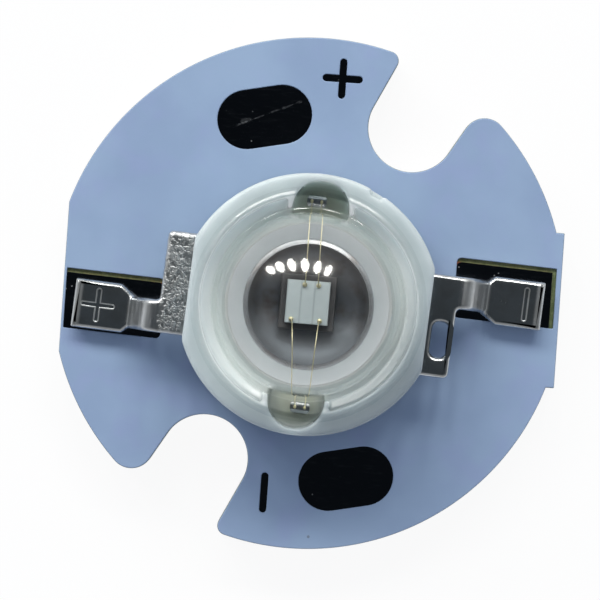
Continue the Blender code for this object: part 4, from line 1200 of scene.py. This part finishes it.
def bond_wire(pad, end_x):
    """A wire looped from its ball on the die over the cup's rim and down to its post."""
    side = 1 if pad.y > 0 else -1
    start = Vector((abs(pad.y), PAD_TOP))
    stations = [
        (start, start, start + WIRE_RISE),
        (WIRE_LEDGE, WIRE_LEDGE + WIRE_ARRIVE, WIRE_LEDGE + WIRE_LEAVE),
        (WIRE_END, WIRE_LAST_BEND, WIRE_END),
    ]

    def placed(point):
        share = (point.x - start.x) / (WIRE_END.x - start.x)
        return (pad.x + (end_x - pad.x) * share, side * point.x, point.y)

    curve = bpy.data.curves.new("wire", "CURVE")
    curve.dimensions = "3D"
    curve.bevel_depth = WIRE_RADIUS
    curve.bevel_resolution = 3
    curve.resolution_u = 24
    curve.use_fill_caps = True
    spline = curve.splines.new("BEZIER")
    spline.bezier_points.add(len(stations) - 1)
    for point, (at, before, after) in zip(spline.bezier_points, stations):
        point.co = placed(at)
        point.handle_left = placed(before)
        point.handle_right = placed(after)
    wire = from_object(bpy.data.objects.new("wire", curve))
    balls = []
    for centre, size in ((placed(start), BALL_SQUASH), (placed(WIRE_END), WEDGE_SQUASH)):
        ball = bmesh.new()
        bmesh.ops.create_uvsphere(ball, u_segments=16, v_segments=10, radius=BALL_RADIUS)
        bmesh.ops.scale(ball, verts=ball.verts, vec=size)
        bmesh.ops.translate(ball, verts=ball.verts, vec=centre)
        balls.append(ball)
    return joined(wire, *balls)


def make_wires():
    """The four gold pads on the die, and their wires."""
    gold = finish("bond gold", bond_gold, seated=True)
    corners = [
        (Vector((0, PAD_TOP)), 0),
        (Vector((BOND_PAD_RADIUS, PAD_TOP)), BOND_PAD_EDGE),
        (Vector((BOND_PAD_RADIUS, DIE_TOP)), 0),
    ]
    profile = [*rounded(corners), (0, DIE_TOP)]
    for name, (x, y, end_x) in BOND_PADS.items():
        pad = DIE_OFFSET + turned_by([Vector((x, y))], DIE_TURN)[0]
        metal = turned(profile, 24)
        bmesh.ops.translate(metal, verts=metal.verts, vec=(*pad, 0))
        piece("gold_pad_" + name, metal, gold, ["bond_pad_" + name])
        piece("gold_wire_" + name, bond_wire(pad, end_x), gold, ["bond_wire_" + name])


def make_floor():
    """A wide pale floor. What camera, metal and glass see of it is mostly its own plain white."""
    shape = bmesh.new()
    bmesh.ops.create_grid(shape, x_segments=1, y_segments=1, size=FLOOR_SIZE)
    mesh = bpy.data.meshes.new("floor")
    shape.to_mesh(mesh)
    shape.free()
    floor = bpy.data.objects.new("floor", mesh)
    bpy.context.scene.collection.objects.link(floor)
    paper = bpy.data.materials.new("floor paper")
    paper.use_nodes = True
    tree = paper.node_tree
    shader = tree.nodes["Principled BSDF"]
    shader.inputs["Base Color"].default_value = FLOOR_PAPER
    shader.inputs["Roughness"].default_value = 0.9
    shader.inputs["Specular IOR Level"].default_value = 0.1
    seen = seen_directly(Socket(tree)) * FLOOR_GLOW
    white = seen.node("ShaderNodeEmission", {}, {"Color": (1, 1, 1, 1), "Strength": 1.0})
    lit = Socket(tree, shader.outputs[0])
    mixed = seen.node("ShaderNodeMixShader", {}, {0: seen, 1: lit, 2: white})
    tree.links.new(mixed.output, tree.nodes["Material Output"].inputs["Surface"])
    mesh.materials.append(paper)


def seen_directly(tree_socket):
    """1 for what the camera, a mirror or glass sees, and 0 for light that falls on things."""
    kinds = [tree_socket.node("ShaderNodeLightPath", output=kind) for kind in RAY_KINDS]
    total = kinds[0] + kinds[1] + kinds[2]
    return total.sum("MINIMUM", total, 1.0)


def make_world():
    """The room round a copy stand: bright to the north, dim to the south, dark at the sides and above."""
    world = bpy.data.worlds.new("studio")
    bpy.context.scene.world = world
    world.use_nodes = True
    tree = world.node_tree
    at = Socket(tree).node("ShaderNodeTexCoord", output="Generated")
    to_north = at.part("Y").between(*NORTH_FADE)
    to_south = (0 - at.part("Y")).between(*SOUTH_FADE)
    overhead = at.part("Z").between(*OVERHEAD_FADE)
    low = 1 - at.part("Z").between(*HORIZON_FADE)
    room = to_north.shade(to_south.shade(low.shade(SIDES, HORIZON), SOUTH), NORTH)
    seen = overhead.shade(room, OVERHEAD)
    colour = seen_directly(at).shade(FILL, seen)
    tree.links.new(colour.output, tree.nodes["Background"].inputs["Color"])


def make_lamps():
    """A row of six soft round-ended panels at the head of the picture, half way up."""
    turn = Matrix.Rotation(math.radians(VIEW_TURN), 3, "Z")
    first = turn @ LAMP_FIRST
    last = turn @ LAMP_LAST
    for number in range(LAMP_COUNT):
        light = bpy.data.lights.new(f"panel_{number + 1}", "AREA")
        light.shape = "ELLIPSE"
        light.size, light.size_y = LAMP_SIZE
        light.energy = LAMP_WATTS
        light.color = LAMP_COLOUR
        panel = bpy.data.objects.new(light.name, light)
        bpy.context.scene.collection.objects.link(panel)
        panel.location = first.lerp(last, number / (LAMP_COUNT - 1)) * LAMP_AWAY
        panel.rotation_euler = panel.location.to_track_quat("Z", "Y").to_euler()
        panel.visible_transmission = False


def make_camera():
    """The camera looks straight down and sees the board's face at a fixed width."""
    data = bpy.data.cameras.new("camera")
    data.sensor_width = SENSOR
    data.lens = SENSOR * VIEW_HEIGHT / VIEW_WIDTH
    data.clip_start = MM
    data.clip_end = 10.0
    camera = bpy.data.objects.new("camera", data)
    bpy.context.scene.collection.objects.link(camera)
    camera.location = (VIEW_CENTRE[0] * MM, VIEW_CENTRE[1] * MM, (MASK_TOP + VIEW_HEIGHT) * MM)
    camera.rotation_euler = (0, 0, math.radians(VIEW_TURN))
    bpy.context.scene.camera = camera


bpy.context.scene.view_settings.view_transform = "Standard"
make_camera()
make_world()
make_lamps()
make_floor()
make_board()
make_tin()
make_slug()
make_body()
make_lens()
make_leads()
make_solder()
make_die_stack()
make_wires()
repaint(finish("copper foil", copper_foil), "copper_positive", "copper_negative", "copper_thermal")
repaint(finish("solder layer", joint_solder), "thermal_joint", "die_attach")
